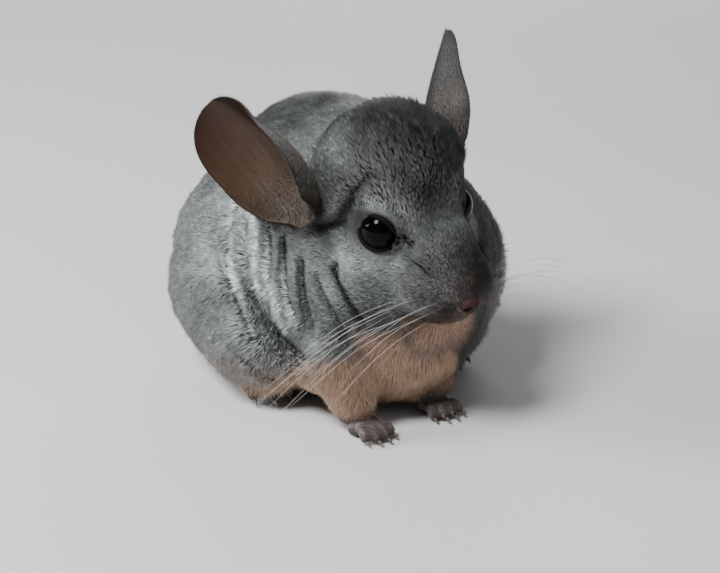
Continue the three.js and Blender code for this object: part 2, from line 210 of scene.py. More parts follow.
def edit(thing, *steps):
    """Runs edit-mode steps on the whole of a mesh."""
    make_active(thing)
    bpy.ops.object.mode_set(mode="EDIT")
    bpy.ops.mesh.select_all(action="SELECT")
    for step in steps:
        step()
    bpy.ops.object.mode_set(mode="OBJECT")


def unwrap(thing):
    """Lays the surface out flat, as the map that the coat's and the ears' patterns follow."""
    edit(thing, lambda: bpy.ops.uv.smart_project(angle_limit=math.radians(66), island_margin=0.002))
    thing.data.uv_layers[0].name = "OFBake"


def ball_of(name, segments, rings):
    """A ball one metre in radius, to be shaped."""
    deselect()
    bpy.ops.mesh.primitive_uv_sphere_add(segments=segments, ring_count=rings, radius=1)
    made = bpy.context.active_object
    made.name = name
    return made


def blend(thing, grain):
    """One even skin over all that a mesh holds."""
    apply_modifier(thing, "REMESH", mode="VOXEL", voxel_size=grain * MM, adaptivity=0)


def read(items, name, width, kind=float):
    """One field of all the items of a mesh, as a row for each."""
    values = np.empty(len(items) * width, kind)
    items.foreach_get(name, values)
    return values.reshape(-1, width)


def points_of(thing):
    return read(thing.data.vertices, "co", 3) / MM


def place_points(thing, points):
    thing.data.vertices.foreach_set("co", (np.asarray(points) * MM).astype(np.float32).ravel())
    thing.data.update()


def normals_of(thing):
    return read(thing.data.vertex_normals, "vector", 3, np.float32).astype(float)


def copies_of(name, nodes):
    """One new mesh from copies of CAD nodes, with their shared corners merged."""
    deselect()
    parts = []
    for node in nodes:
        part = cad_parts[node].copy()
        part.data = part.data.copy()
        part.parent = None
        for key in list(part.keys()):
            del part[key]
        bpy.context.scene.collection.objects.link(part)
        part.select_set(True)
        parts.append(part)
    bpy.context.view_layer.objects.active = parts[0]
    if len(parts) > 1:
        bpy.ops.object.join()
    made = bpy.context.view_layer.objects.active
    made.name = name
    made.data.name = name
    made.data.materials.clear()
    edit(made, lambda: bpy.ops.mesh.remove_doubles(threshold=0.00001))
    return made


def finish_piece(thing, material, slot, *nodes):
    thing.data.materials.clear()
    thing.data.materials.append(material)
    thing.data.shade_smooth()
    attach(thing, "root")
    if nodes:
        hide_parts(*nodes)
    return thing


def write_attribute(thing, name, values):
    """A value or a vector at each corner point, for the shaders to read."""
    values = np.asarray(values, np.float32)
    if values.ndim == 1:
        made = thing.data.attributes.new(name, "FLOAT", "POINT")
        made.data.foreach_set("value", values)
    else:
        made = thing.data.attributes.new(name, "FLOAT_VECTOR", "POINT")
        made.data.foreach_set("vector", values.ravel())


def waves(points, size, seed):
    """Smooth noise from -1 to 1 whose bumps are about this many millimetres across."""
    draw = np.random.default_rng(seed)
    total = np.zeros(len(points))
    for _ in range(7):
        way = unit(draw.normal(size=3)) * (math.pi / size) * draw.uniform(0.7, 1.5)
        total += np.sin(points @ way + draw.uniform(0, 2 * math.pi))
    return np.clip(total / 3.2, -1, 1)


def swirl(points, seed):
    """A way that wanders smoothly from place to place."""
    return np.stack([waves(points, 9, seed + axis) for axis in range(3)], 1)


# Skin

TAIL_LINE = [[0, 58, 26], [3, 77, 18], [20, 87, 15.1], [43, 81.5, 15.1], [60, 62.5, 15.1], [66, 37, 15.1]]
EYES_IN_DRAWING = np.array([2.876, -47.67, 69.85])
DRAWING_SHIFT = BETWEEN_EYES - EYES_IN_DRAWING
TAIL_CORE = 4.2
BELLY_AT = np.array([-6.0, -20.0, 16.0]) + DRAWING_SHIFT
BELLY_SIZE = np.array([29.0, 32.0, 13.5])
TAIL_REACH = 14.5
LEGS = [f"{part}_{side}" for part in ("foreleg", "hindleg") for side in SIDES]
FLESH = ["torso", "head", "nose", "tail_root"] + LEGS
FEET = [f"{part}_{side}" for part in ("forepaw", "hindfoot") for side in SIDES]


def smooth_line(points, shares):
    """Points at shares of a smooth line through a few points."""
    points = np.asarray(points, float)
    padded = np.vstack([2 * points[0] - points[1], points, 2 * points[-1] - points[-2]])
    at = np.clip(np.asarray(shares, float), 0, 1) * (len(points) - 1)
    first = np.minimum(at.astype(int), len(points) - 2)
    t = (at - first)[:, None]
    a, b, c, d = (padded[first + i] for i in range(4))
    return 0.5 * (2 * b + (c - a) * t + (2 * a - 5 * b + 4 * c - d) * t**2 + (3 * b - a - 3 * c + d) * t**3)


def tail_at(shares):
    return smooth_line(np.array(TAIL_LINE) + DRAWING_SHIFT, shares)


def tube(name, line, radii, sides=10):
    """A closed tapering tube along points, from a primitive that is bent to them."""
    line = np.asarray(line, float)
    deselect()
    bpy.ops.mesh.primitive_cylinder_add(vertices=sides, radius=1, depth=1, end_fill_type="TRIFAN")
    made = bpy.context.active_object
    made.name = name
    steps = len(line) - 1
    edit(made, lambda: bpy.ops.mesh.select_all(action="DESELECT"))
    for edge in made.data.edges:
        ends = [made.data.vertices[i].co.z for i in edge.vertices]
        edge.select = abs(ends[0] - ends[1]) > 0.5
    bpy.ops.object.mode_set(mode="EDIT")
    bpy.ops.mesh.subdivide(number_cuts=steps - 1)
    bpy.ops.object.mode_set(mode="OBJECT")
    points = points_of(made) * MM
    level = np.clip(np.round((points[:, 2] + 0.5) * steps).astype(int), 0, steps)
    ways = unit(np.gradient(line, axis=0))
    side = unit(np.cross(ways, np.array([0.03, 0.02, 1.0])))
    top = np.cross(side, ways)
    radii = np.asarray(radii, float)[level][:, None]
    place_points(made, line[level] + (points[:, :1] * side[level] + points[:, 1:2] * top[level]) * radii)
    edit(made, lambda: bpy.ops.mesh.normals_make_consistent(inside=False))
    return made


def join(things, name):
    deselect()
    for thing in things:
        thing.select_set(True)
    bpy.context.view_layer.objects.active = things[0]
    bpy.ops.object.join()
    things[0].name = name
    return things[0]


def inside_box(points, nodes, spare):
    """1 inside the boxes of these nodes, and 0 this far outside."""
    found = np.zeros(len(points))
    for node in nodes:
        low, high = (np.array(corner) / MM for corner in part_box(node))
        out = np.maximum(np.maximum(low - points, points - high), 0)
        found = np.maximum(found, ramp(np.linalg.norm(out, axis=1), spare, 0))
    return found


def headness(points):
    return ramp(away_from(points, HEAD_MIDDLE), 50, 40)


def eye_distance(points):
    return np.minimum(*(away_from(points, eye) for eye in EYES.values()))


def footness(points):
    return inside_box(points, FEET, 2.5) * ramp(points[:, 2], 9, 6)


def eye_frame(side):
    """An eye's own ways: out along its look, towards the nose, and up."""
    look = unit(0.44 * HEAD_FORWARD + 0.86 * SIDES[side] * HEAD_LEFT + 0.25 * HEAD_UP)
    front = unit(HEAD_FORWARD - (HEAD_FORWARD @ look) * look)
    top = np.cross(look, front)
    return look, front, top if top @ HEAD_UP > 0 else -top


def lid_share(points, side):
    """0 at the middle of an eye's opening, 1 on the edge of the lids, more outside it."""
    look, front, top = eye_frame(side)
    away = points - EYES[side]
    ahead, high = away @ front, away @ top
    width = LID_WIDTH / 2 + LID_CORNER * ramp(ahead, 3.5, 7) * hump(high, 2.6)
    share = np.hypot(ahead / width, high / (LID_HEIGHT / 2))
    return np.where(away @ look > 0, share, 9.0)


def eye_opening(points):
    return np.minimum(*(lid_share(points, side) for side in SIDES))


def tailness(points):
    start = middle_of("tail_root")[1]
    return inside_box(points, ["tail_root", "tail_brush"], 3) * ramp(points[:, 1], start - 9, start + 4)


def coat_depth(points):
    """How far the coat's tips stand over the skin at each place."""
    forward, _, up = in_head(points)
    head = mix(CHEEK_COAT, CROWN_COAT, ramp(up, -6, 14) * ramp(forward, 14, -6))
    head = mix(head, MUZZLE_COAT, ramp(away_from(points, NOSE), 24, 8))
    head = mix(head, LID_COAT, ramp(eye_distance(points), 13, 7.5))
    legs = inside_box(points, ["foreleg_left", "foreleg_right"], 6) * ramp(points[:, 2], 26, 14)
    depth = mix(mix(BODY_COAT, LEG_COAT, legs), head, headness(points))
    depth = mix(depth, FOOT_COAT, footness(points))
    return mix(depth, TAIL_COAT, tailness(points))


def relax(thing, steps, weight):
    """Evens out a mesh: each point moves towards the middle of its neighbours by its own weight."""
    edges = read(thing.data.edges, "vertices", 2, np.int64)
    points = points_of(thing)
    count = np.bincount(edges.ravel(), minlength=len(points))[:, None]
    weight = np.asarray(weight)[:, None]
    for step in range(steps):
        pull = 0.55 if step % 2 == 0 else -0.56
        total = np.zeros_like(points)
        for axis in range(3):
            total[:, axis] = np.bincount(edges[:, 0], points[edges[:, 1], axis], len(points))
            total[:, axis] += np.bincount(edges[:, 1], points[edges[:, 0], axis], len(points))
        points = points + pull * weight * (total / count - points)
    place_points(thing, points)


def build_outer_form():
    """The body out to the tips of its coat, in one piece without seams."""
    form = copies_of("skin", FLESH + FEET + [f"eye_{side}" for side in SIDES])
    edit(form, lambda: bpy.ops.transform.shrink_fatten(value=0.4 * MM))
    shares = np.linspace(0.2, 0.9, 24)
    radii = TAIL_CORE * ramp(shares, 0.97, 0.7) + TAIL_COAT * ramp(shares, 0.9, 0.5)
    core = tube("tail_core", tail_at(shares), radii)
    belly = ball_of("belly", 32, 20)
    place_points(belly, points_of(belly) * MM * BELLY_SIZE + BELLY_AT)
    form = join([form, core, belly], "skin")
    blend(form, SKIN_GRAIN)
    points = points_of(form)
    fine = np.maximum(footness(points), headness(points) * ramp(away_from(points, NOSE), 34, 18))
    fine = np.maximum(fine, ramp(eye_distance(points), 12, 8))
    relax(form, 60, mix(1.0, 0.3, fine))
    return form


class Outline:
    """The coat's outer surface, to find what a pixel of the photograph shows."""

    def __init__(self, form):
        points = points_of(form)
        faces = [tuple(polygon.vertices) for polygon in form.data.polygons]
        self.tree = BVHTree.FromPolygons([Vector(p) for p in points], faces)

    def at(self, pixel):
        hit = self.tree.ray_cast(Vector(CAMERA_AT), Vector(unit(through(pixel))))[0]
        return None if hit is None else np.array(hit)

    def snap(self, points):
        """The nearest places on the surface."""
        return np.array([self.tree.find_nearest(Vector(point))[0] for point in points])

    def line(self, pixels, steps=24):
        """The surface under a smooth line through pixels."""
        flat = smooth_line([[x, y, 0] for x, y in pixels], np.linspace(0, 1, steps))
        found = [self.at(point[:2]) for point in flat]
        return np.array([point for point in found if point is not None])


def mirror_in_head(points):
    forward, left, up = in_head(points)
    return from_head(forward[:, None], -left[:, None], up[:, None])


def mirror_in_body(points):
    return points * [-1, 1, 1] + [2 * BODY_MIDDLE_X, 0, 0]


BODY_MIDDLE_X = float(DRAWING_SHIFT[0]) + 2
BODY_MIDDLE_Y = float(DRAWING_SHIFT[1]) - 4


def nearest_distance(points, line):
    """Distance of each point to a short line of points."""
    best = np.full(len(points), 1e9)
    for start, end in zip(line[:-1], line[1:]):
        way = end - start
        share = np.clip((points - start) @ way / max(way @ way, 1e-9), 0, 1)
        best = np.minimum(best, np.linalg.norm(points - start - share[:, None] * way, axis=1))
    return best


# Folds of the loose skin between the cheek and the flank, and the furrow from the ear past the eye, as the
# photograph shows them: pixels, half width, and how deep each is pressed in and how dark its painted shade
# is.
FOLDS = [
    ([(236, 205), (226, 240), (226, 270), (238, 305), (252, 335)], 1.7, 0.45),
    ([(244, 222), (243, 250), (249, 280), (257, 308), (266, 332), (280, 352)], 1.3, 0.9),
    ([(262, 206), (268, 235), (268, 265), (266, 290)], 1.2, 0.9),
    ([(257, 282), (262, 303), (272, 327), (288, 346), (308, 362)], 1.2, 1.0),
    ([(285, 236), (284, 258), (284, 282), (289, 305), (297, 328)], 1.2, 0.85),
    ([(302, 262), (303, 285), (306, 305), (311, 324)], 1.1, 1.0),
    ([(318, 276), (326, 296), (338, 318), (346, 334)], 1.1, 0.5),
    ([(335, 268), (341, 285), (352, 304), (365, 322)], 1.3, 0.9),
    ([(233, 350), (255, 368), (280, 384)], 1.6, 0.35),
]
# Painted highlights: the crests between the folds, made lighter as silver sheen would catch them
CREST_HIGHLIGHTS = [
    ([(238, 220), (236, 250), (239, 270), (243, 284)], 1.1, 0.9),
    ([(258, 212), (262, 236), (262, 256), (264, 278), (267, 298)], 1.5, 1.5),
    ([(275, 242), (275, 258), (274, 276), (279, 294), (284, 312), (290, 324)], 1.6, 1.8),
    ([(290, 256), (288, 274), (291, 290), (298, 310), (304, 320)], 1.3, 1.4),
    ([(312, 256), (320, 270), (330, 288), (340, 302)], 1.0, 0.9),
    ([(253, 300), (263, 318), (274, 336)], 1.0, 0.8),
    ([(288, 340), (304, 352)], 1.2, 0.7),
]
# Furrows pressed in and darkened with painted shade, like the folds: behind the ear's foot, up past the eye,
# and at the eye's front corner
FURROWS = [
    ([(276, 227), (300, 230), (322, 230), (342, 225)], 2.5, 1.0),
    ([(340, 223), (350, 208), (358, 195), (370, 180)], 2.3, 0.6),
    ([(403, 239), (412, 246)], 0.9, 0.8),
]
# Thin dark tear lines from the corner of the eye towards the nose
TEARS = [
    [(403, 237), (408, 243), (412, 246)],
    [(410, 260), (417, 264), (422, 268), (428, 274)],
]


def fields_of(outline, drawn, mirror, wider=1.0, weaker=1.0):
    """Each drawn line on the surface, with its half width and strength, and again on the other side."""
    near = [(outline.line(pixels), width, strength) for pixels, width, strength in drawn]
    far = [(outline.snap(mirror(line)), width * wider, strength * weaker) for line, width, strength in near]
    return near + far


def fold_fields(outline):
    return fields_of(outline, FOLDS, mirror_in_body, 1.2, 0.5) + fields_of(outline, FURROWS, mirror_in_head)


def foldness(points, fields):
    deep = np.zeros(len(points))
    for line, width, strength in fields:
        low, high = line.min(0) - 4 * width, line.max(0) + 4 * width
        near = np.all((points > low) & (points < high), axis=1)
        if near.any():
            found = strength * hump(nearest_distance(points[near], line), width)
            deep[near] = np.maximum(deep[near], found)
    return deep


def sink_skin(form, fields):
    """Draws the outer form in by the coat's depth, and presses the folds and the eyes' openings into it."""
    points = points_of(form)
    depth = coat_depth(points)
    place_points(form, points - normals_of(form) * depth[:, None])
    relax(form, 6, np.ones(len(points)))
    sunk = points_of(form)
    press = foldness(points, fields) * mix(3.1, 1.9, headness(points))
    sunk = sunk - normals_of(form) * press[:, None]
    for side in SIDES:
        away = sunk - EYES[side]
        distance = away_from(sunk, EYES[side])
        share = lid_share(sunk, side)
        lid = np.maximum(distance, EYE_RADIUS + LID_EDGE)
        wanted = np.where(share < 1.09, EYE_RADIUS - 1.1, lid)
        near = ramp(distance, 11, 9)
        push = mix(1, wanted / np.maximum(distance, 1e-6), near * (share < 3))
        sunk = EYES[side] + away * push[:, None]
    place_points(form, sunk)
    unwrap(form)


# Markings

# Light and dark patches: pixel, radius, and how much lighter or darker the coat is there. Most are the coat's
# own markings; the bright temple at (338, 150) is a painted sheen, the pale cheek at (352, 262) is partly its
# own pale fur and partly painted sheen, and the dark spots behind the ear's foot at (300, 228) and (325, 229)
# are painted shadow.
HEAD_PATCHES = [
    ((338, 150), 9, 1.1), ((323, 188), 6, -0.7), ((352, 262), 6, 1.0), ((375, 264), 6, 0.9),
    ((398, 268), 5, 0.6), ((371, 209), 2.8, 1.3), ((386, 211), 2.8, 1.1), ((400, 222), 2.4, 0.6),
    ((400, 158), 15, -1.5), ((325, 256), 6, -0.45), ((430, 124), 5, 1.4), ((437, 198), 5, -0.6),
    ((314, 204), 6, -0.8), ((424, 218), 8, -0.5), ((380, 128), 10, -1.2), ((300, 228), 4.5, -0.8),
    ((325, 229), 4.5, -0.8), ((440, 275), 6, -1.2), ((410, 300), 6, 0.9), ((428, 300), 5, 1.2),
    ((345, 295), 7, 0.15),
]
# Reddish brown fur: pixel, radius, and how much of it
WARM_PATCHES = [((447, 318), 5, 1.0), ((461, 314), 4.5, 1.0), ((468, 284), 4, 0.5)]
# Dark specks in rows where the whiskers leave the pad of the lip
HEAD_PATCHES += [
    ((408 + 8 * step + 3 * row, 290 + 6 * row + 2 * step), 0.9, -1.3)
    for row in range(3)
    for step in range(5)
]
# Patches on the body, as above. The bright ones on the near shoulder and flank are partly the coat's silver
# and partly painted sheen; the darker far flank at (484, 262) is partly the coat's browner tone and partly
# painted shade, and (466, 335) is a painted shadow under the chin on the far side.
BODY_PATCHES = [
    ((246, 205), 5, 0.7), ((250, 240), 9, 0.3), ((280, 290), 10, 0.4), ((240, 280), 4, 0.35),
    ((215, 190), 10, -0.5), ((275, 345), 8, -0.3), ((484, 262), 14, -0.7), ((466, 335), 12, -1.9),
]
RAGGED_CROWN = [(392, 113), (418, 126), (405, 140)]
# How high the cream underside reaches, by the way round the body: degrees from straight ahead, and height
CREAM_EDGE = (
    [(-180, 7), (-100, 8), (-75, 11), (-60, 14), (-46, 20), (-36, 26), (-26, 32)]
    + [(-8, 34), (9, 33), (15, 24), (22, 14), (60, 12), (100, 8), (180, 7)]
)
BODY_SHARE = 0.7
HEAD_SHARE = 0.6


def both_sides(outline, patches, mirror, share):
    """Each patch as a place on the skin, and again on the other side at a share of its strength."""
    found = [(outline.at(pixel), radius, strength) for pixel, radius, strength in patches]
    return found + [(mirror(place[None])[0], radius, strength * share) for place, radius, strength in found]


class Markings:
    """Where the coat is lighter, darker, browner or cream, painted highlights and shade among them, worked
    out once for skin and coat alike.
    """

    def __init__(self, outline, fields, mouth):
        self.fields = fields
        self.mouth = mouth
        self.ragged = [outline.at(pixel) for pixel in RAGGED_CROWN]
        self.crest_highlights = fields_of(outline, CREST_HIGHLIGHTS, mirror_in_body, 1.0, 0.5)
        self.patches = both_sides(outline, HEAD_PATCHES, mirror_in_head, HEAD_SHARE)
        self.patches += both_sides(outline, BODY_PATCHES, mirror_in_body, BODY_SHARE)
        self.brown = both_sides(outline, WARM_PATCHES, mirror_in_head, 1)

    def tone(self, points):
        """How light the grey is, in powers of about two."""
        head = headness(points)
        total = -0.9 * head - 0.5 * head * ramp(in_head(points)[2], 6, 18)
        total -= 0.85 * head * ramp(away_from(points, NOSE), 26, 14)
        total -= 2.1 * (1 - head) * ramp(points[:, 2], 72, 96)
        for place, radius, strength in self.patches:
            total += strength * hump(away_from(points, place), radius)
        # Painted highlights along the crests, half as strong on the head
        total += foldness(points, self.crest_highlights) * (1 - 0.5 * head)
        total -= 1.4 * ramp(eye_opening(points), 1.35, 1.1)
        total += 0.15 * waves(points, 8, 5) + 0.15 * waves(points, 3, 6)
        total += 0.35 * waves(points, 1.7, 9) * ramp(away_from(points, NOSE), 26, 12)
        return np.minimum(total, 1.25)

    @staticmethod
    def turn(points):
        """Degrees from straight ahead of the body's middle: below 0 on the right, above 0 on the left."""
        return np.degrees(np.arctan2(points[:, 0] - BODY_MIDDLE_X, -(points[:, 1] - BODY_MIDDLE_Y)))

    def cream(self, points):
        """The pale chest, belly and inner legs."""
        line = np.interp(self.turn(points), *zip(*CREAM_EDGE))
        z = points[:, 2] + 2.4 * waves(points, 7, 8)
        under = ramp(z, line + 4.5, line - 4.5)
        forward, left, up = in_head(points)
        chin = headness(points) * ramp(up, -20, -24) * ramp(forward, 14, 21) * ramp(np.abs(left), 15, 9)
        pale = np.maximum(under * (1 - chin), chin) * (1 - 0.75 * self.lips(points))
        return np.clip(pale, 0, 1) * (1 - tailness(points))

    def lips(self, points):
        """The dark reddish fur along the mouth."""
        return hump(nearest_distance(points, self.mouth), 3.0)

    def warm(self, points):
        """Browner on the muzzle and the nose; warmer low on the body, as painted warm bounce light; and
        browner on the far side, partly the coat's own tone and partly painted shade.
        """
        muzzle = 0.25 * ramp(away_from(points, NOSE), 24, 6)
        muzzle = np.maximum(muzzle, self.lips(points))
        for place, radius, strength in self.brown:
            muzzle = np.maximum(muzzle, strength * hump(away_from(points, place), radius))
        # Painted warm bounce light on the low body
        low = 0.35 * ramp(points[:, 2], 26, 10) * (1 - headness(points))
        # The far side browner: partly the coat's own tone, partly painted shade
        far = 0.25 * ramp(points[:, 0], 12, 30) * ramp(points[:, 1], 0, -30)
        return np.maximum(np.maximum(muzzle, low), far)

    def write(self, thing, roots, along, shade, repeat=1):
        """The attributes that the coat's material reads."""
        marks = np.stack([self.tone(roots), self.warm(roots), self.cream(roots)], 1)
        # Painted shade in the folds and furrows, over a narrower width than they are pressed in
        narrow = [(line, width * 0.75, strength) for line, width, strength in self.fields]
        fold_shade = foldness(roots, narrow) * mix(0.75, 1, headness(roots))
        kind = np.stack([fold_shade, footness(roots), tailness(roots)], 1)
        hair = np.stack([along, shade, np.zeros(len(along))], 1)
        write_attribute(thing, "marks", np.repeat(marks, repeat, axis=0))
        write_attribute(thing, "kind", np.repeat(kind, repeat, axis=0))
        write_attribute(thing, "hair", hair)


# Materials


class Value:
    """A number from a shader socket, which can be added, multiplied and so on."""

    def __init__(self, shader, socket):
        self.shader = shader
        self.socket = socket

    def math(self, kind, first, second):
        made = self.shader.node("ShaderNodeMath", {"operation": kind}, {0: first, 1: second})
        return Value(self.shader, made)

    def __add__(self, other):
        return self.math("ADD", self, other)

    __radd__ = __add__

    def __sub__(self, other):
        return self.math("SUBTRACT", self, other)

    def __rsub__(self, other):
        return self.math("SUBTRACT", other, self)

    def __mul__(self, other):
        return self.math("MULTIPLY", self, other)

    __rmul__ = __mul__

    def __rpow__(self, other):
        return self.math("POWER", other, self)

    def ramp(self, low, high):
        """0 at low, 1 at high, smooth between."""
        settings = {"interpolation_type": "SMOOTHSTEP"}
        made = self.shader.node("ShaderNodeMapRange", settings, {0: self, 1: low, 2: high})
        return Value(self.shader, made)


class Shader:
    """A material whose nodes are made by short calls."""

    def __init__(self, name, **constants):
        self.material = bpy.data.materials.new(name)
        self.material.use_nodes = True
        self.tree = self.material.node_tree
        self.surface = self.tree.nodes["Principled BSDF"]
        for socket, value in constants.items():
            self.surface.inputs[socket.replace("_", " ")].default_value = value

    def node(self, kind, settings, inputs, output=0):
        """A node's output, with its settings made first, and then a value or a link for each socket."""
        made = self.tree.nodes.new(kind)
        for name, value in settings.items():
            setattr(made, name, value)
        for place, given in inputs.items():
            given = given.socket if isinstance(given, Value) else given
            if isinstance(given, bpy.types.NodeSocket):
                self.tree.links.new(given, made.inputs[place])
            else:
                made.inputs[place].default_value = given
        return made.outputs[output]

    def vector(self, name):
        """A vector attribute as it is, to place a texture by."""
        return self.node("ShaderNodeAttribute", {"attribute_name": name}, {}, "Vector")

    def attribute(self, name):
        """The three numbers of a vector attribute."""
        first = self.node("ShaderNodeSeparateXYZ", {}, {0: self.vector(name)})
        return [Value(self, socket) for socket in first.node.outputs]

    def noise(self, size, detail=2.0, place=None):
        """Noise from 0 to 1 whose bumps are about this many millimetres across."""
        place = place or self.node("ShaderNodeTexCoord", {}, {}, "Object")
        inputs = {"Vector": place, "Scale": 1 / (size * MM), "Detail": detail}
        return Value(self, self.node("ShaderNodeTexNoise", {}, inputs))

    def mix(self, first, second, share):
        """A colour between two."""
        return self.node("ShaderNodeMix", {"data_type": "RGBA"}, {0: share, 6: first, 7: second}, 2)

    def tint(self, colour, by):
        """A colour multiplied by another."""
        return self.node("ShaderNodeVectorMath", {"operation": "MULTIPLY"}, {0: colour, 1: by})

    def scale(self, colour, amount):
        """A colour made darker or lighter."""
        return self.node("ShaderNodeVectorMath", {"operation": "SCALE"}, {0: colour, "Scale": amount})

    def set(self, **sockets):
        for name, given in sockets.items():
            given = given.socket if isinstance(given, Value) else given
            self.tree.links.new(given, self.surface.inputs[name.replace("_", " ")])

    def bump(self, height, depth, strength=1.0):
        inputs = {"Strength": strength, "Distance": depth * MM, "Height": height}
        self.set(Normal=self.node("ShaderNodeBump", {}, inputs))


def grey(level, tint=(1, 1, 1)):
    return tuple(level * part for part in tint) + (1,)


SLATE_ROOT = grey(0.06)
SILVER_BAND = grey(0.42, (0.93, 1, 1.01))
BLACK_TIP = grey(0.03)
BROWNER = (1.8, 1.0, 0.7)
# The cream's tip is tinted towards orange: partly its own colour, partly painted warm bounce light
CREAM_ROOT = grey(0.2, (1.2, 0.8, 0.58))
CREAM_TIP_WITH_BOUNCE = grey(0.74, (1.0, 0.66, 0.46))
TAIL_ROOT_GREY = grey(0.025)
TAIL_TIP_GREY = grey(0.12)
TOE_ROOT = grey(0.06, (1.2, 0.95, 0.88))
TOE_TIP = grey(0.16, (1.14, 0.95, 0.88))
EAR_TAN = grey(0.055, (1.4, 0.84, 0.52))
EAR_TIP_BROWN = grey(0.028, (1.6, 0.72, 0.46))
EAR_FOOT_PINK = grey(0.12, (1.15, 0.92, 0.77))
EAR_BACK = grey(0.055, (1.03, 0.98, 0.93))
EAR_BACK_TIP = grey(0.035, (1.03, 0.98, 0.93))
# Brown tint of the painted shade low on the front edge of the ear's back
FOLD_SHADE_BROWN = (0.75, 0.56, 0.42)
FUZZ_ROOT = grey(0.02, (1.15, 0.95, 0.8))
FUZZ_TIP = grey(0.24, (1.05, 0.98, 0.9))
NOSE_SHADE = grey(0.016, (1.7, 0.75, 0.66))
NOSE_LIGHT = grey(0.036, (1.6, 0.78, 0.68))
SOLE_SHADE = grey(0.08, (1.2, 0.9, 0.85))
SOLE_LIGHT = grey(0.18, (1.15, 0.92, 0.87))
WHISKER_ROOT = grey(0.06)
WHISKER_TIP = grey(0.6, (1, 0.97, 0.92))
EYE_BLACK = grey(0.0015)
LID_BLACK = grey(0.005, (1.1, 0.95, 0.95))
LIP_RED = (0.05, 0.022, 0.022, 1)
CLAW_HORN = (0.1, 0.08, 0.065, 1)


def coat_material(name, bumpy):
    """Slate at the root, then silver, then a dark tip; cream below, browner at the mouth and the feet; darker
    in the folds and furrows, as painted shade.
    """
    shader = Shader(name, Roughness=0.45, Specular_IOR_Level=0.45)
    tone, warm, cream = shader.attribute("marks")
    fold_shade, foot, tail = shader.attribute("kind")
    along, shade, _ = shader.attribute("hair")
    mottle = shader.noise(1.8, 3)
    fur = shader.mix(SLATE_ROOT, SILVER_BAND, along.ramp(0.0, 0.6))
    ticking = (mottle + shade * 0.5 - tone * 0.1).ramp(0.5, 0.85)
    fur = shader.mix(fur, BLACK_TIP, along.ramp(0.45, 0.9) * ticking * 0.85)
    fur = shader.scale(fur, (shade * 1.1 + 0.45) * 2.0 ** (tone * 1.15))
    fur = shader.mix(fur, shader.tint(fur, BROWNER), warm)
    pale = shader.mix(CREAM_ROOT, CREAM_TIP_WITH_BOUNCE, along.ramp(0, 0.8))
    pale = shader.scale(pale, shade * 0.4 + 0.72)
    fur = shader.mix(fur, pale, cream)
    dark_tail = shader.mix(TAIL_ROOT_GREY, TAIL_TIP_GREY, (along * shade).ramp(0.1, 0.8))
    fur = shader.mix(fur, dark_tail, tail)
    fur = shader.mix(fur, shader.mix(TOE_ROOT, TOE_TIP, along), foot)
    # Painted shade in the folds and furrows
    fur = shader.scale(fur, 1 - fold_shade.ramp(0.0, 0.9) * 0.86)
    shader.set(Base_Color=fur)
    if bumpy:
        shader.bump(shader.noise(0.9, 3), 0.35, 0.7)
    return shader.material


# Coat


class Ground:
    """A mesh as arrays, to root tufts on."""

    def __init__(self, thing):
        mesh = thing.data
        mesh.calc_loop_triangles()
        self.points = points_of(thing)
        self.normals = normals_of(thing)
        self.corners = read(mesh.loop_triangles, "vertices", 3, np.int64)
        loops = read(mesh.loop_triangles, "loops", 3, np.int64)
        self.flat = read(mesh.uv_layers["OFBake"].data, "uv", 2)[loops]
        a, b, c = (self.points[self.corners[:, i]] for i in range(3))
        self.area = np.linalg.norm(np.cross(b - a, c - a), axis=1) / 2
        self.middle = (a + b + c) / 3

    def scatter(self, density):
        """Places spread evenly at a density for each face: points, normals and places on the unwrap."""
        total = np.cumsum(self.area * density)
        count = int(total[-1])
        at = (np.arange(count) + RANDOM.random(count)) / count * total[-1]
        face = np.searchsorted(total, at).clip(0, len(total) - 1)
        first = np.sqrt(RANDOM.random(count))
        second = RANDOM.random(count)
        share = np.stack([1 - first, first * (1 - second), first * second], 1)[:, :, None]
        points = (self.points[self.corners[face]] * share).sum(1)
        normals = unit((self.normals[self.corners[face]] * share).sum(1))
        return points, normals, (self.flat[face] * share).sum(1)


def spread(value, count):
    return np.broadcast_to(np.asarray(value, float), (count,))


# How wide each tuft's own patch is on the coat's flat map
PATCH_WIDTH = 0.003


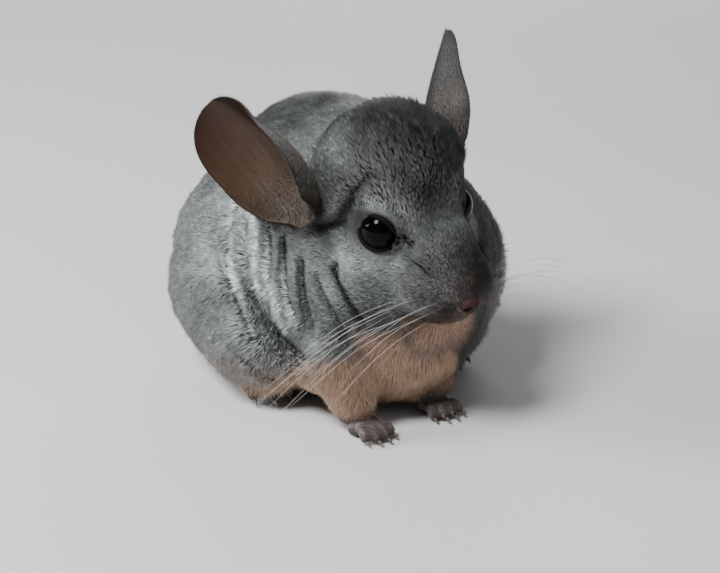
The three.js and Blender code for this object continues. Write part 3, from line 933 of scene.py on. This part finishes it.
class Tufts:
    """Tapered three-sided tufts: where each is rooted, which way it lies, and its size."""

    def __init__(self, roots, normals, flat, lie, length, width, rise, rings):
        count = len(roots)
        self.roots, self.normals, self.flat = roots, normals, flat
        along = lie - (lie * normals).sum(1, keepdims=True) * normals
        self.lie = unit(along)
        self.side = unit(np.cross(self.normals, self.lie))
        self.length, self.width = spread(length, count), spread(width, count)
        self.shade = RANDOM.random(count)
        self.rings = rings
        rise = np.radians(spread(rise, count))[:, None]
        sway = RANDOM.normal(0, 0.12, count)[:, None]
        way = unit(self.lie * np.cos(rise) + self.normals * np.sin(rise) + self.side * sway)
        step = way * (self.length / rings)[:, None]
        self.line = np.stack([roots - normals * 0.15 + step * ring for ring in range(rings + 1)])

    def gather(self, share, every):
        """Draws the tips of neighbouring tufts together, as plush fur parts into small clumps."""
        seeds = RANDOM.choice(len(self.roots), max(len(self.roots) // every, 1), replace=False)
        tree = KDTree(len(seeds))
        for seed in seeds:
            tree.insert(self.roots[seed], seed)
        tree.balance()
        own = np.array([tree.find(root)[1] for root in self.roots])
        self.shade = mix(self.shade, self.shade[own], 0.65)
        offset = self.line[-1][own] - self.line[-1] - (self.roots[own] - self.roots) * 0.35
        share = spread(share, len(self.roots))[:, None]
        limit = 0.4 * self.length / np.maximum(np.linalg.norm(offset, axis=1), 1e-6)
        offset = offset * np.minimum(1, limit)[:, None]
        for ring in range(1, self.rings + 1):
            self.line[ring] += offset * share * (ring / self.rings) ** 1.5

    def above(self, height):
        """Keeps every tuft over the floor."""
        self.line[..., 2] = np.maximum(self.line[..., 2], height)

    def build(self, name, chosen, markings):
        """One mesh of the chosen tufts, with the attributes and the unwrap that the material reads."""
        count, rings = len(chosen), self.rings
        line, side = self.line[:, chosen], self.side[chosen]
        top = np.cross(side, unit(line[1] - line[0]))
        corners = []
        for ring in range(rings):
            half = self.width[chosen] / 2 * (0.8 if ring == 0 else 1 - (ring / rings) ** 2 * 0.5)
            for turn in np.radians([90, 210, 330]):
                out = side * (math.cos(turn) * 1.15) + top * (math.sin(turn) * 0.7)
                corners.append(line[ring] + out * half[:, None])
        corners.append(line[rings])
        each = 3 * rings + 1
        points = np.stack(corners, 1).reshape(-1, 3)
        faces = [(0, 2, 1)]
        for ring in range(rings - 1):
            for i in range(3):
                a, b = ring * 3 + i, ring * 3 + (i + 1) % 3
                faces += [(a, b, b + 3), (a, b + 3, a + 3)]
        last = 3 * (rings - 1)
        faces += [(last + i, last + (i + 1) % 3, each - 1) for i in range(3)]
        faces = (np.array(faces)[None] + (np.arange(count) * each)[:, None, None]).reshape(-1)
        mesh = bpy.data.meshes.new(name)
        mesh.vertices.add(len(points))
        mesh.vertices.foreach_set("co", (points * MM).astype(np.float32).ravel())
        mesh.loops.add(len(faces))
        mesh.loops.foreach_set("vertex_index", faces.astype(np.int32))
        mesh.polygons.add(len(faces) // 3)
        mesh.polygons.foreach_set("loop_start", np.arange(0, len(faces), 3, dtype=np.int32))
        mesh.update(calc_edges=True)
        thing = add_object(name, mesh)
        along = np.append(np.repeat(np.arange(rings) / rings, 3), 1.0)
        across = np.append(np.tile([0.0, -0.5, 0.5], rings), 0.0)
        patch = np.stack([across, along - 0.5], 1) * PATCH_WIDTH
        flat = (self.flat[chosen][:, None] + patch[None]).reshape(-1, 2)
        layer = mesh.uv_layers.new(name="OFBake")
        layer.data.foreach_set("uv", flat[faces].astype(np.float32).ravel())
        shade = np.repeat(self.shade[chosen], each)
        markings.write(thing, self.roots[chosen], np.tile(along, count), shade, each)
        return thing


def lie_of(points):
    """Which way the coat lies: back from the nose over the head, back and down the body, down the legs."""
    head = points - NOSE + 6 * HEAD_FORWARD
    body = np.array([0.0, 1.0, -0.45]) - np.outer(ramp(points[:, 2], 60, 20), [0, 0, 1])
    chest = np.array([0.0, 0.15, -1.0])
    front = ramp(points[:, 1], -45, -68)[:, None] * (1 - ramp(points[:, 2], 60, 80))[:, None]
    body = mix(unit(body), chest, front)
    lie = mix(unit(body), unit(head), headness(points)[:, None])
    toes = np.array([0.0, -1.0, -0.2])
    lie = mix(lie, toes, inside_box(points, FEET, 3)[:, None])
    for eye in EYES.values():
        away = points - eye
        near = ramp(away_from(points, eye), 14, 8)
        lie = mix(lie, unit(away), 0.8 * near[:, None])
    return unit(lie) + 0.28 * swirl(points, 11)


TUFTS_IN_A_PIECE = 48000


def grow_coat(skin, markings, material):
    """Fine short tufts over the whole skin, finest on the face and the feet."""
    ground = Ground(skin)
    middle = ground.middle
    near_nose = away_from(middle, NOSE)
    density = mix(6.0, 11.0, headness(middle))
    density = mix(density, 20.0, ramp(near_nose, 22, 9))
    density = mix(density, 16.0, ramp(eye_distance(middle), 13, 8))
    density = density * (1 - 0.35 * ramp(middle[:, 2], 14, 8))
    density = mix(density, 12.0, footness(middle))
    density = density * (eye_opening(middle) > 1.12) * (near_nose > 3.4) * (1 - tailness(middle))
    density[middle[:, 2] < 0.8] = 0
    density[nearest_distance(middle, markings.mouth) < 0.75] = 0
    roots, normals, flat = ground.scatter(density)
    keep = ~inside_ears(roots)
    roots, normals, flat = roots[keep], normals[keep], flat[keep]
    count = len(roots)
    depth = coat_depth(roots)
    tall = ramp(depth, 0.3, 2.2)
    length = mix(1.4, 4.8, tall) * RANDOM.uniform(0.8, 1.2, count)
    rise = np.degrees(np.arcsin(np.clip(depth / length, 0.1, 0.8)))
    rise = rise + mix(2, 7, tall) * (waves(roots, 4, 21) + RANDOM.normal(0, 0.8, count))
    ragged = sum(hump(away_from(roots, place), 8) for place in markings.ragged)
    length = length * (1 + 0.8 * ragged * RANDOM.random(count))
    rise = rise + 20 * ragged * np.clip(waves(roots, 2.5, 23), 0, 1)
    width = mix(0.18, 0.36, tall) * RANDOM.uniform(0.75, 1.25, count)
    coat = Tufts(roots, normals, flat, lie_of(roots), length, width, rise.clip(4, 60), rings=1)
    crown = headness(roots) * ramp(in_head(roots)[2], 4, 14)
    coat.gather(mix(0.35, 0.75, crown), 11)
    coat.above(0.3)
    order = np.argsort(roots[:, 1])
    for number, chosen in enumerate(np.array_split(order, math.ceil(count / TUFTS_IN_A_PIECE))):
        fur = coat.build(f"fur_{number + 1:02d}", chosen, markings)
        finish_piece(fur, material, "coat")


def inside_ears(points):
    """Whether a place lies within the foot of an ear."""
    found = np.zeros(len(points), bool)
    for side in SIDES:
        for share in (0.03, 0.1, 0.17):
            found |= away_from(points, ear_place(side, share)) < 5
    return found


def tail_course():
    """Shares along the tail to beyond its tip, its middle line there, and the ways along, across and up."""
    shares = np.linspace(0, 1.12, 90)
    line = tail_at(shares)
    beyond = shares > 1
    last = np.flatnonzero(~beyond)[-1]
    run = shares[last] - shares[last - 5]
    line[beyond] = line[last] + np.outer(shares[beyond] - 1, line[last] - line[last - 5]) / run
    ways = unit(np.gradient(line, axis=0))
    side = unit(np.cross(ways, [0.0, 0.0, 1.0]))
    return shares, line, ways, side, np.cross(side, ways)


def along_course(at, shares, values):
    """Values known at shares of the tail, at other shares of it."""
    return np.stack([np.interp(at, shares, values[:, axis]) for axis in range(3)], 1)


def grow_tail(skin, markings, material):
    """The tail's long coarse hairs, which leave it at a slant and bend round with it to its tip."""
    ground = Ground(skin)
    roots, normals, flat = ground.scatter(2.3 * tailness(ground.middle) * (ground.middle[:, 2] > 2))
    count = len(roots)
    shares, line, ways, side, top = tail_course()
    nearest = np.array([np.argmin(away_from(line, root)) for root in roots])
    away = roots - line[nearest]
    turn = np.arctan2((away * top[nearest]).sum(1), (away * side[nearest]).sum(1))
    turn = turn + RANDOM.normal(0, 0.12, count)
    start = np.linalg.norm(away, axis=1)
    share = shares[nearest]
    long_hair = ramp(share, 0.16, 0.36)
    length = mix(7, 29, long_hair) * RANDOM.uniform(0.7, 1.1, count)
    reach = mix(9.5, TAIL_REACH, long_hair) * mix(1, 0.8, ramp(share, 0.7, 0.95))
    reach = reach * RANDOM.uniform(0.62, 1.0, count)
    coat = Tufts(roots, normals, flat, ways[nearest], length, mix(0.4, 0.6, long_hair), 20, rings=3)
    total = np.linalg.norm(np.diff(line, axis=0), axis=1).sum() / shares[-1]
    for ring in range(1, 4):
        step = ring / 3
        at = np.clip(share + length * step / total, 0, shares[-1])
        far = mix(start, reach, 1 - (1 - step) ** 1.7)
        sway = turn + 0.1 * step * waves(roots, 6, 34)
        spot, across, upward = (along_course(at, shares, values) for values in (line, side, top))
        coat.line[ring] = spot + across * (np.cos(sway) * far)[:, None]
        coat.line[ring] += upward * (np.sin(sway) * far)[:, None]
    coat.gather(0.3, 14)
    coat.above(0.4)
    brush = coat.build("tail_fur", np.arange(count), markings)
    finish_piece(brush, material, "tail_coat", "tail_brush")


# Ears

# Each ear, as the head is drawn: its foot, the way it rises and the way its cup faces; how wide its front and
# its outer half are at the foot, and how much wider they grow higher up; how sharply the front is folded; the
# share of its length where it starts to narrow; how far it bows backwards, and how low the bow is deepest.
EARS = {
    "left": [
        (24.5, 21.5, -5), (0.4, 0.64, 0.66), (0.8, -0.58, 0.18),
        (1.1, 1.05), (0.4, 0.42), 0.0, 0.28, (6.0, 0.6),
    ],
    "right": [
        (29, 19.5, -6.5), (0.35, 0.7, 0.62), (0.62, -0.6, 0.5),
        (1.2, 0.6), (0.8, 0.0), 0.85, 0.6, (4.0, 1.0),
    ],
}
EAR_LENGTH = 50
EAR_WIDTH = 34
EAR_ROOT = 2.6
EAR_RIM = 0.7
STREAK_WIDTH = 1000 / 900


def bent_sheet(across, curl, crease):
    """Turn, place across and depth of a sheet from its middle line, round or bent at a crease in part."""
    reach = (np.arange(40)[:, None] + 0.5) / 40 * np.abs(across)
    turn = curl * mix(reach, ramp(reach, 0.16, 0.5), crease)
    run = np.cos(turn).mean(0) * across
    depth = np.sin(turn).mean(0) * np.abs(across)
    return turn[-1] * np.sign(across), run, depth


def ear_points(side, share, across, face):
    """Points of an ear: foot 0 to tip 1, front edge -1 to outer edge 1, back -1 to cup 1."""
    foot, along, facing, widths, swells, folded, point, (bow, low) = EARS[side]
    up = unit(along)
    facing = unit(facing - (np.array(facing) @ up) * up)
    outer = np.cross(up, facing)
    curl = np.where(across > 0, mix(1.5, 0.75, share), mix(1.9, 1.35, share))
    thick = mix(EAR_ROOT, EAR_RIM, ramp(share, 0, 0.5)) * np.sqrt(1 - 0.55 * across**2)
    wide = mix(np.where(across < 0, *widths), 1, ramp(share, 0, 0.45))
    wide = wide + np.where(across < 0, *swells) * hump(share - 0.42, 0.26)
    narrowing = np.sqrt(np.maximum(1 - (np.maximum(share - point, 0) / (1 - point)) ** (1 + 2 * point), 0))
    half = EAR_WIDTH / 2 * wide * narrowing
    half = half * mix(0.4, 1, ramp(share, 0, 0.22))
    crease = np.where(across < 0, folded, 0) * ramp(share, 0.02, 0.2) * ramp(share, 0.98, 0.7)
    bend, run, depth = bent_sheet(across, curl, crease)
    run = run * half
    depth = depth * half - bow * np.sin(math.pi * share**low)
    inward = np.outer(np.cos(bend), facing) - np.outer(np.sin(bend), outer)
    placed = foot + np.outer(share * EAR_LENGTH, up) + np.outer(run, outer)
    placed = placed + np.outer(depth, facing) + inward * (face * thick)[:, None]
    x, y, z = placed.T[:, :, None]
    return from_drawn_head(x * SIDES[side], y, z)


def ear_place(side, share, across=0, face=0):
    """One place on an ear."""
    return ear_points(side, *(np.array([float(value)]) for value in (share, across, face)))[0]


def make_ear(side, material):
    ear = ball_of(f"ear_{side}_skin", 96, 72)
    ball = points_of(ear) * MM
    share = 1 - (np.arccos(np.clip(ball[:, 2], -1, 1)) / math.pi) ** 1.7
    ring = np.maximum(np.hypot(ball[:, 0], ball[:, 1]), 1e-6)
    across, face = ball[:, 0] / ring, ball[:, 1] / ring
    across[ring < 1e-4] = face[ring < 1e-4] = 0
    place_points(ear, ear_points(side, share, across, face))
    edit(ear, lambda: bpy.ops.mesh.normals_make_consistent(inside=False))
    unwrap(ear)
    write_attribute(ear, "leaf", np.stack([share, across, face], 1))
    streaks = np.stack([across * EAR_WIDTH, share * EAR_LENGTH * 0.12, face * 3], 1) * MM
    write_attribute(ear, "streaks", streaks)
    return finish_piece(ear, material, "ear_skin", f"ear_{side}")


def ear_material():
    """Thin skin: brown and streaked in the cup, pinkish at the foot, darker to the tip and along the rim;
    painted shade on the curled front of the cup, on the back, and low on the back's front edge.
    """
    shader = Shader("ear_skin", Roughness=0.5, Specular_IOR_Level=0.35)
    share, across, face = shader.attribute("leaf")
    streak = shader.noise(STREAK_WIDTH, 3, shader.vector("streaks"))
    mottle = shader.noise(6, 3)
    cup = face.ramp(-0.15, 0.25)
    near_tip = (share + mottle * 0.4).ramp(0.5, 1.2)
    inner = shader.mix(EAR_TAN, EAR_TIP_BROWN, near_tip)
    inner = shader.mix(EAR_FOOT_PINK, inner, (share + mottle * 0.2).ramp(0.12, 0.45))
    # Painted shade on the front of the cup, where it curls over
    front = (across * -1).ramp(0.2, 0.5)
    inner = shader.scale(inner, (streak * 0.8 + 0.6) * (1 - front * 0.6))
    outer = shader.mix(EAR_BACK, EAR_BACK_TIP, share)
    # Painted shade on the back, all but its front edge, as it turns from the light
    outer = shader.scale(outer, 1 - across.ramp(-0.5, -0.1) * 0.65)
    # Painted shade, browner, low on the back's front edge, where the ear folds over
    low_front_shade = (across * -1).ramp(0.2, 0.6) * (1 - share).ramp(0.35, 0.75)
    outer = shader.mix(outer, shader.tint(outer, FOLD_SHADE_BROWN), low_front_shade)
    skin = shader.mix(outer, inner, cup)
    rim = (across * across).ramp(0.9, 0.995)
    shader.set(Base_Color=shader.scale(skin, 1 - rim * 0.55))
    shader.bump(streak + mottle, 0.25, 0.5)
    return shader.material


def grow_ear_fuzz(ear, side, markings, material):
    """Fine short hairs: dense on the back of the ear at its foot, sparse and pale in the cup."""
    ground = Ground(ear)
    leaf = read(ear.data.attributes["leaf"].data, "vector", 3)[ground.corners].mean(1)
    share, face = leaf[:, 0], leaf[:, 2]
    back = ramp(face, 0.1, -0.3)
    density = mix(6 * ramp(share, 0.6, 0.1), mix(10, 5, ramp(share, 0.05, 0.8)), back) * (share > 0.02)
    roots, normals, flat = ground.scatter(density)
    tip, foot = ear_place(side, 1), ear_place(side, 0)
    reach = (roots - foot) @ unit(tip - foot) / EAR_LENGTH
    lie = unit(tip - foot) + 0.25 * swirl(roots, 41)
    length = mix(3.6, 1.7, ramp(reach, 0.0, 0.5)) * RANDOM.uniform(0.7, 1.2, len(roots))
    rise = RANDOM.normal(20, 6, len(roots)).clip(8, 50)
    fuzz = Tufts(roots, normals, flat, lie, length, 0.13, rise, rings=1)
    looking = unit(ear_place(side, 0.5, face=1) - ear_place(side, 0.5, face=-1))
    fuzz.shade = fuzz.shade * mix(1, 0.3, ramp(normals @ looking, 0.1, -0.3))
    across = unit(ear_place(side, 0.5, across=1) - ear_place(side, 0.5, across=-1))
    over = (roots - foot) @ across / EAR_WIDTH * 2
    # Painted shade: the fuzz is darker over all but the front edge of the ear, below its tip, as that side
    # turns from the light
    fuzz.shade = fuzz.shade * mix(1, 0.1, ramp(over, -0.45, 0.1) * ramp(reach, 0.95, 0.7))
    finish_piece(fuzz.build(f"ear_{side}_fuzz", np.arange(len(roots)), markings), material, "ear_skin")


def fuzz_material():
    shader = Shader("ear_hair", Roughness=0.55, Specular_IOR_Level=0.2)
    along, shade, _ = shader.attribute("hair")
    shader.set(Base_Color=shader.mix(FUZZ_ROOT, FUZZ_TIP, along * shade))
    return shader.material


# Eyes, nose, mouth, feet, claws and whiskers


def plain_material(name, colour, **constants):
    return Shader(name, Base_Color=colour, **constants).material


def make_eye(side, eye_skin, lid_skin):
    ball = ball_of(f"eye_{side}_ball", 64, 40)
    place_points(ball, points_of(ball) * MM * EYE_RADIUS + EYES[side])
    finish_piece(ball, eye_skin, "eye", f"eye_{side}")
    look, front, top = eye_frame(side)
    turns = np.linspace(0, 2 * math.pi, 57)
    ahead = np.cos(turns) * LID_WIDTH / 2
    high = np.sin(turns) * LID_HEIGHT / 2
    ahead = ahead + LID_CORNER * ramp(ahead, 3.5, 7) * hump(high, 2.6)
    out = np.sqrt(np.maximum((EYE_RADIUS + 0.2) ** 2 - ahead**2 - high**2, 1.4**2))
    line = EYES[side] + np.outer(ahead, front) + np.outer(high, top) + np.outer(out, look)
    lids = tube(f"lid_{side}", line, np.full(57, 0.8), 8)
    finish_piece(lids, lid_skin, "coat")


def make_nose(material):
    """The bare pad between the nostrils, with the nostrils cut in as slanting slits and a groove down the
    middle, both darkened as painted shade.
    """
    pad = copies_of("nose_pad", ["nose"])
    blend(pad, 0.25)
    relax(pad, 30, np.ones(len(pad.data.vertices)))
    points = points_of(pad)
    forward, left, up = in_head(points - NOSE + BETWEEN_EYES)
    flat = np.stack([np.zeros(len(points)), np.abs(left), up], 1)
    slit = hump(nearest_distance(flat, np.array([[0, 0.9, 0.9], [0, 1.7, 0.1], [0, 2.7, -0.1]])), 0.42)
    groove = hump(nearest_distance(flat, np.array([[0, 0, -0.2], [0, 0, -5]])), 0.3)
    deep = np.maximum(slit, 0.7 * groove) * ramp(forward, -0.5, 0.6)
    place_points(pad, points - 0.7 * deep[:, None] * HEAD_FORWARD)
    write_attribute(pad, "slit", np.stack([deep, deep, deep], 1))
    finish_piece(pad, material, "nose_skin", "nose")


MOUTH_HALF = [(9.0, -15, -22.4), (5.9, -24.4, -21.7), (3.2, -28, -18.7)]
MOUTH_MIDDLE = (0, -28.9, -17.3)


def mouth_line(outline):
    """The closed mouth along the skin, from one corner under the nose to the other."""
    drawn = MOUTH_HALF + [MOUTH_MIDDLE] + [(-x, y, z) for x, y, z in reversed(MOUTH_HALF)]
    heart = from_drawn_head(0, 2, -4)
    line = []
    for place in smooth_line(drawn, np.linspace(0, 1, 31)):
        way = unit(from_drawn_head(*place) - heart)
        line.append(np.array(outline.tree.ray_cast(Vector(heart), Vector(way))[0]))
    return np.array(line)


def make_mouth(line, material):
    swell = 0.62 * ramp(np.minimum(np.arange(31), 30 - np.arange(31)), -1, 6)
    lips = tube("lips", line - 0.25 * HEAD_FORWARD, swell, 8)
    finish_piece(lips, material, "nose_skin")


def make_claws(material):
    """A small horn claw on every toe."""
    claws = []
    for foot, (place, turn, width, length, toes, reach, thick, spread) in FEET_DRAWN.items():
        turn = math.radians(turn)
        for toe in range(toes):
            across = toe / (toes - 1) * 2 - 1
            x = across * (width * 0.33 + spread)
            y = -length * 0.2 - reach * (1 - 0.22 * across**2) - thick * 0.3
            steps = np.linspace(0, 1, 6)
            ahead = y - thick * 1.05 * steps
            high = thick * (0.95 + 0.2 * np.sin(steps * 2.4) - 0.6 * steps**2)
            right = place[0] + x * math.cos(turn) - ahead * math.sin(turn)
            back = place[1] + x * math.sin(turn) + ahead * math.cos(turn)
            line = np.stack([right, back, high], 1) + DRAWING_SHIFT * [1, 1, 0]
            claws.append(tube("claw", line, thick * 0.36 * (1 - 0.9 * steps**1.5), 8))
    finish_piece(join(claws, "claws"), material, "foot_skin")


FEET_DRAWN = {
    "forepaw_right": ((-18, -52), 8, 11, 9.35, 4, 8.5, 1.75, 1.8),
    "forepaw_left": ((11, -46), 4, 11, 9.35, 4, 8.5, 1.75, 1.8),
    "hindfoot_right": ((-33, 3), -6, 13, 36, 3, 15, 2.4, 2),
    "hindfoot_left": ((33, 3), 6, 13, 36, 3, 15, 2.4, 2),
}
# The near whiskers, from the pad of the lip to their ends
WHISKERS = [
    ((403, 312), (205, 468)), ((408, 306), (214, 441)), ((415, 303), (233, 412)),
    ((420, 312), (240, 450)), ((428, 318), (264, 428)), ((433, 310), (284, 398)),
    ((438, 320), (306, 432)), ((412, 298), (252, 392)), ((440, 313), (330, 388)),
    ((425, 300), (296, 368)), ((417, 318), (222, 425)), ((443, 305), (360, 352)),
]


def make_whiskers(outline, material):
    whiskers = []
    for start, end in WHISKERS:
        root = outline.at(start)
        root = root + 1.5 * unit(HEAD_MIDDLE - root)
        away = (end[0] - start[0]) * CAMERA_RIGHT - (end[1] - start[1]) * CAMERA_UP
        away = away * 0.82 * VIEW_DISTANCE / FOCAL_PIXELS + 9 * CAMERA_BACK
        length = np.linalg.norm(away)
        middle = root + away / 2 + 0.07 * length * CAMERA_UP + 0.05 * length * CAMERA_BACK
        line = smooth_line([root, middle, root + away], np.linspace(0, 1, 15))
        radii = mix(0.065, 0.025, np.linspace(0, 1, 15))
        for side in (line, mirror_in_head(line)):
            whisker = tube("whisker", side, radii, 5)
            reach = away_from(points_of(whisker), side[0]) / length
            write_attribute(whisker, "hair", np.stack([reach, reach, reach], 1))
            whiskers.append(whisker)
    finish_piece(join(whiskers, "whiskers"), material, "coat")


def whisker_material():
    shader = Shader("whisker_horn", Roughness=0.4)
    reach = shader.attribute("hair")[0]
    shader.set(Base_Color=shader.mix(WHISKER_ROOT, WHISKER_TIP, reach.ramp(0.02, 0.3)))
    return shader.material


def make_tear_lines(outline, material):
    lines = []
    for pixels in TEARS:
        line = outline.line(pixels, 14)
        thick = 0.26 * np.sin(np.linspace(0.12, 0.92, len(line)) * math.pi)
        lines.append(tube("tear", line, thick, 6))
        lines.append(tube("tear", outline.snap(mirror_in_head(line)), thick, 6))
    finish_piece(join(lines, "tear_lines"), material, "coat")


def nose_material():
    shader = Shader("nose_skin", Roughness=0.62, Specular_IOR_Level=0.15)
    tint = shader.mix(NOSE_SHADE, NOSE_LIGHT, shader.noise(1.4, 3))
    slit = shader.attribute("slit")[0]
    # Painted shade in the nostril slits and the groove
    shader.set(Base_Color=shader.scale(tint, 1 - slit * 0.85))
    shader.bump(shader.noise(0.35, 2), 0.12, 0.6)
    return shader.material


def make_feet(material):
    feet = copies_of("feet", FEET)
    blend(feet, 0.42)
    relax(feet, 24, np.ones(len(feet.data.vertices)))
    finish_piece(feet, material, "foot_skin", *FEET)


def foot_material():
    shader = Shader("foot_skin", Roughness=0.55, Specular_IOR_Level=0.35)
    shader.set(Base_Color=shader.mix(SOLE_SHADE, SOLE_LIGHT, shader.noise(2.2, 3)))
    shader.bump(shader.noise(0.6, 3), 0.2, 0.6)
    return shader.material


# Room


def make_room():
    deselect()
    bpy.ops.mesh.primitive_plane_add(size=6, location=(0, 0, 0))
    floor = bpy.context.active_object
    floor.name = "floor"
    shader = Shader("pale_floor", Roughness=0.85)
    shader.set(Base_Color=shader.mix(grey(0.62), grey(0.68), shader.noise(180, 2)))
    floor.data.materials.append(shader.material)
    world = bpy.data.worlds.new("studio")
    world.use_nodes = True
    background = world.node_tree.nodes["Background"]
    background.inputs[0].default_value = (0.9, 0.95, 1.0, 1)
    background.inputs[1].default_value = 0.18
    bpy.context.scene.world = world


def add_lamp(name, place, aim, size, power, colour):
    data = bpy.data.lights.new(name, "AREA")
    data.shape = "DISK"
    data.size = size
    data.energy = power
    data.color = colour
    look_along(add_object(name, data), place, aim - place)


def make_lights():
    middle = np.array([0.0, 0.0, 0.05])

    def beyond(back, right, up, distance):
        return middle + unit(back * CAMERA_BACK + right * CAMERA_RIGHT + up * CAMERA_UP) * distance

    add_lamp("key", beyond(0.72, -0.4, 0.62, 1.1), middle, 0.4, 17, (1.0, 0.99, 0.98))
    add_lamp("side", beyond(0.1, -0.9, 0.42, 1.2), middle, 0.6, 14, (0.98, 0.99, 1.0))
    add_lamp("fill", beyond(0.5, 0.85, 0.3, 1.3), middle, 0.9, 1.0, (1.0, 0.96, 0.92))
    add_lamp("rim", beyond(-0.8, 0.1, 0.7, 1.2), middle, 0.7, 5, (0.97, 0.99, 1.0))


def main():
    make_camera()
    make_room()
    make_lights()
    skin = build_outer_form()
    outline = Outline(skin)
    sink_skin(skin, fold_fields(outline))
    bare = Outline(skin)
    mouth = mouth_line(bare)
    markings = Markings(bare, fold_fields(bare), mouth)
    count = len(skin.data.vertices)
    markings.write(skin, points_of(skin), np.full(count, 0.2), np.full(count, 0.5))
    covered = [node for node in FLESH if node != "nose"]
    finish_piece(skin, coat_material("skin_coat", True), "coat", *covered)
    fur = coat_material("fur", False)
    grow_coat(skin, markings, fur)
    grow_tail(skin, markings, fur)
    ear_skin, ear_hair = ear_material(), fuzz_material()
    eye_skin = plain_material("eye_black", EYE_BLACK, Roughness=0.04, Specular_IOR_Level=0.08)
    lid_skin = plain_material("lid_skin", LID_BLACK, Roughness=0.6, Specular_IOR_Level=0.08)
    for side in SIDES:
        grow_ear_fuzz(make_ear(side, ear_skin), side, markings, ear_hair)
        make_eye(side, eye_skin, lid_skin)
    make_nose(nose_material())
    make_feet(foot_material())
    make_mouth(mouth, plain_material("lip_skin", LIP_RED, Roughness=0.5))
    make_claws(plain_material("claw_horn", CLAW_HORN, Roughness=0.35))
    make_whiskers(outline, whisker_material())
    make_tear_lines(outline, lid_skin)


main()
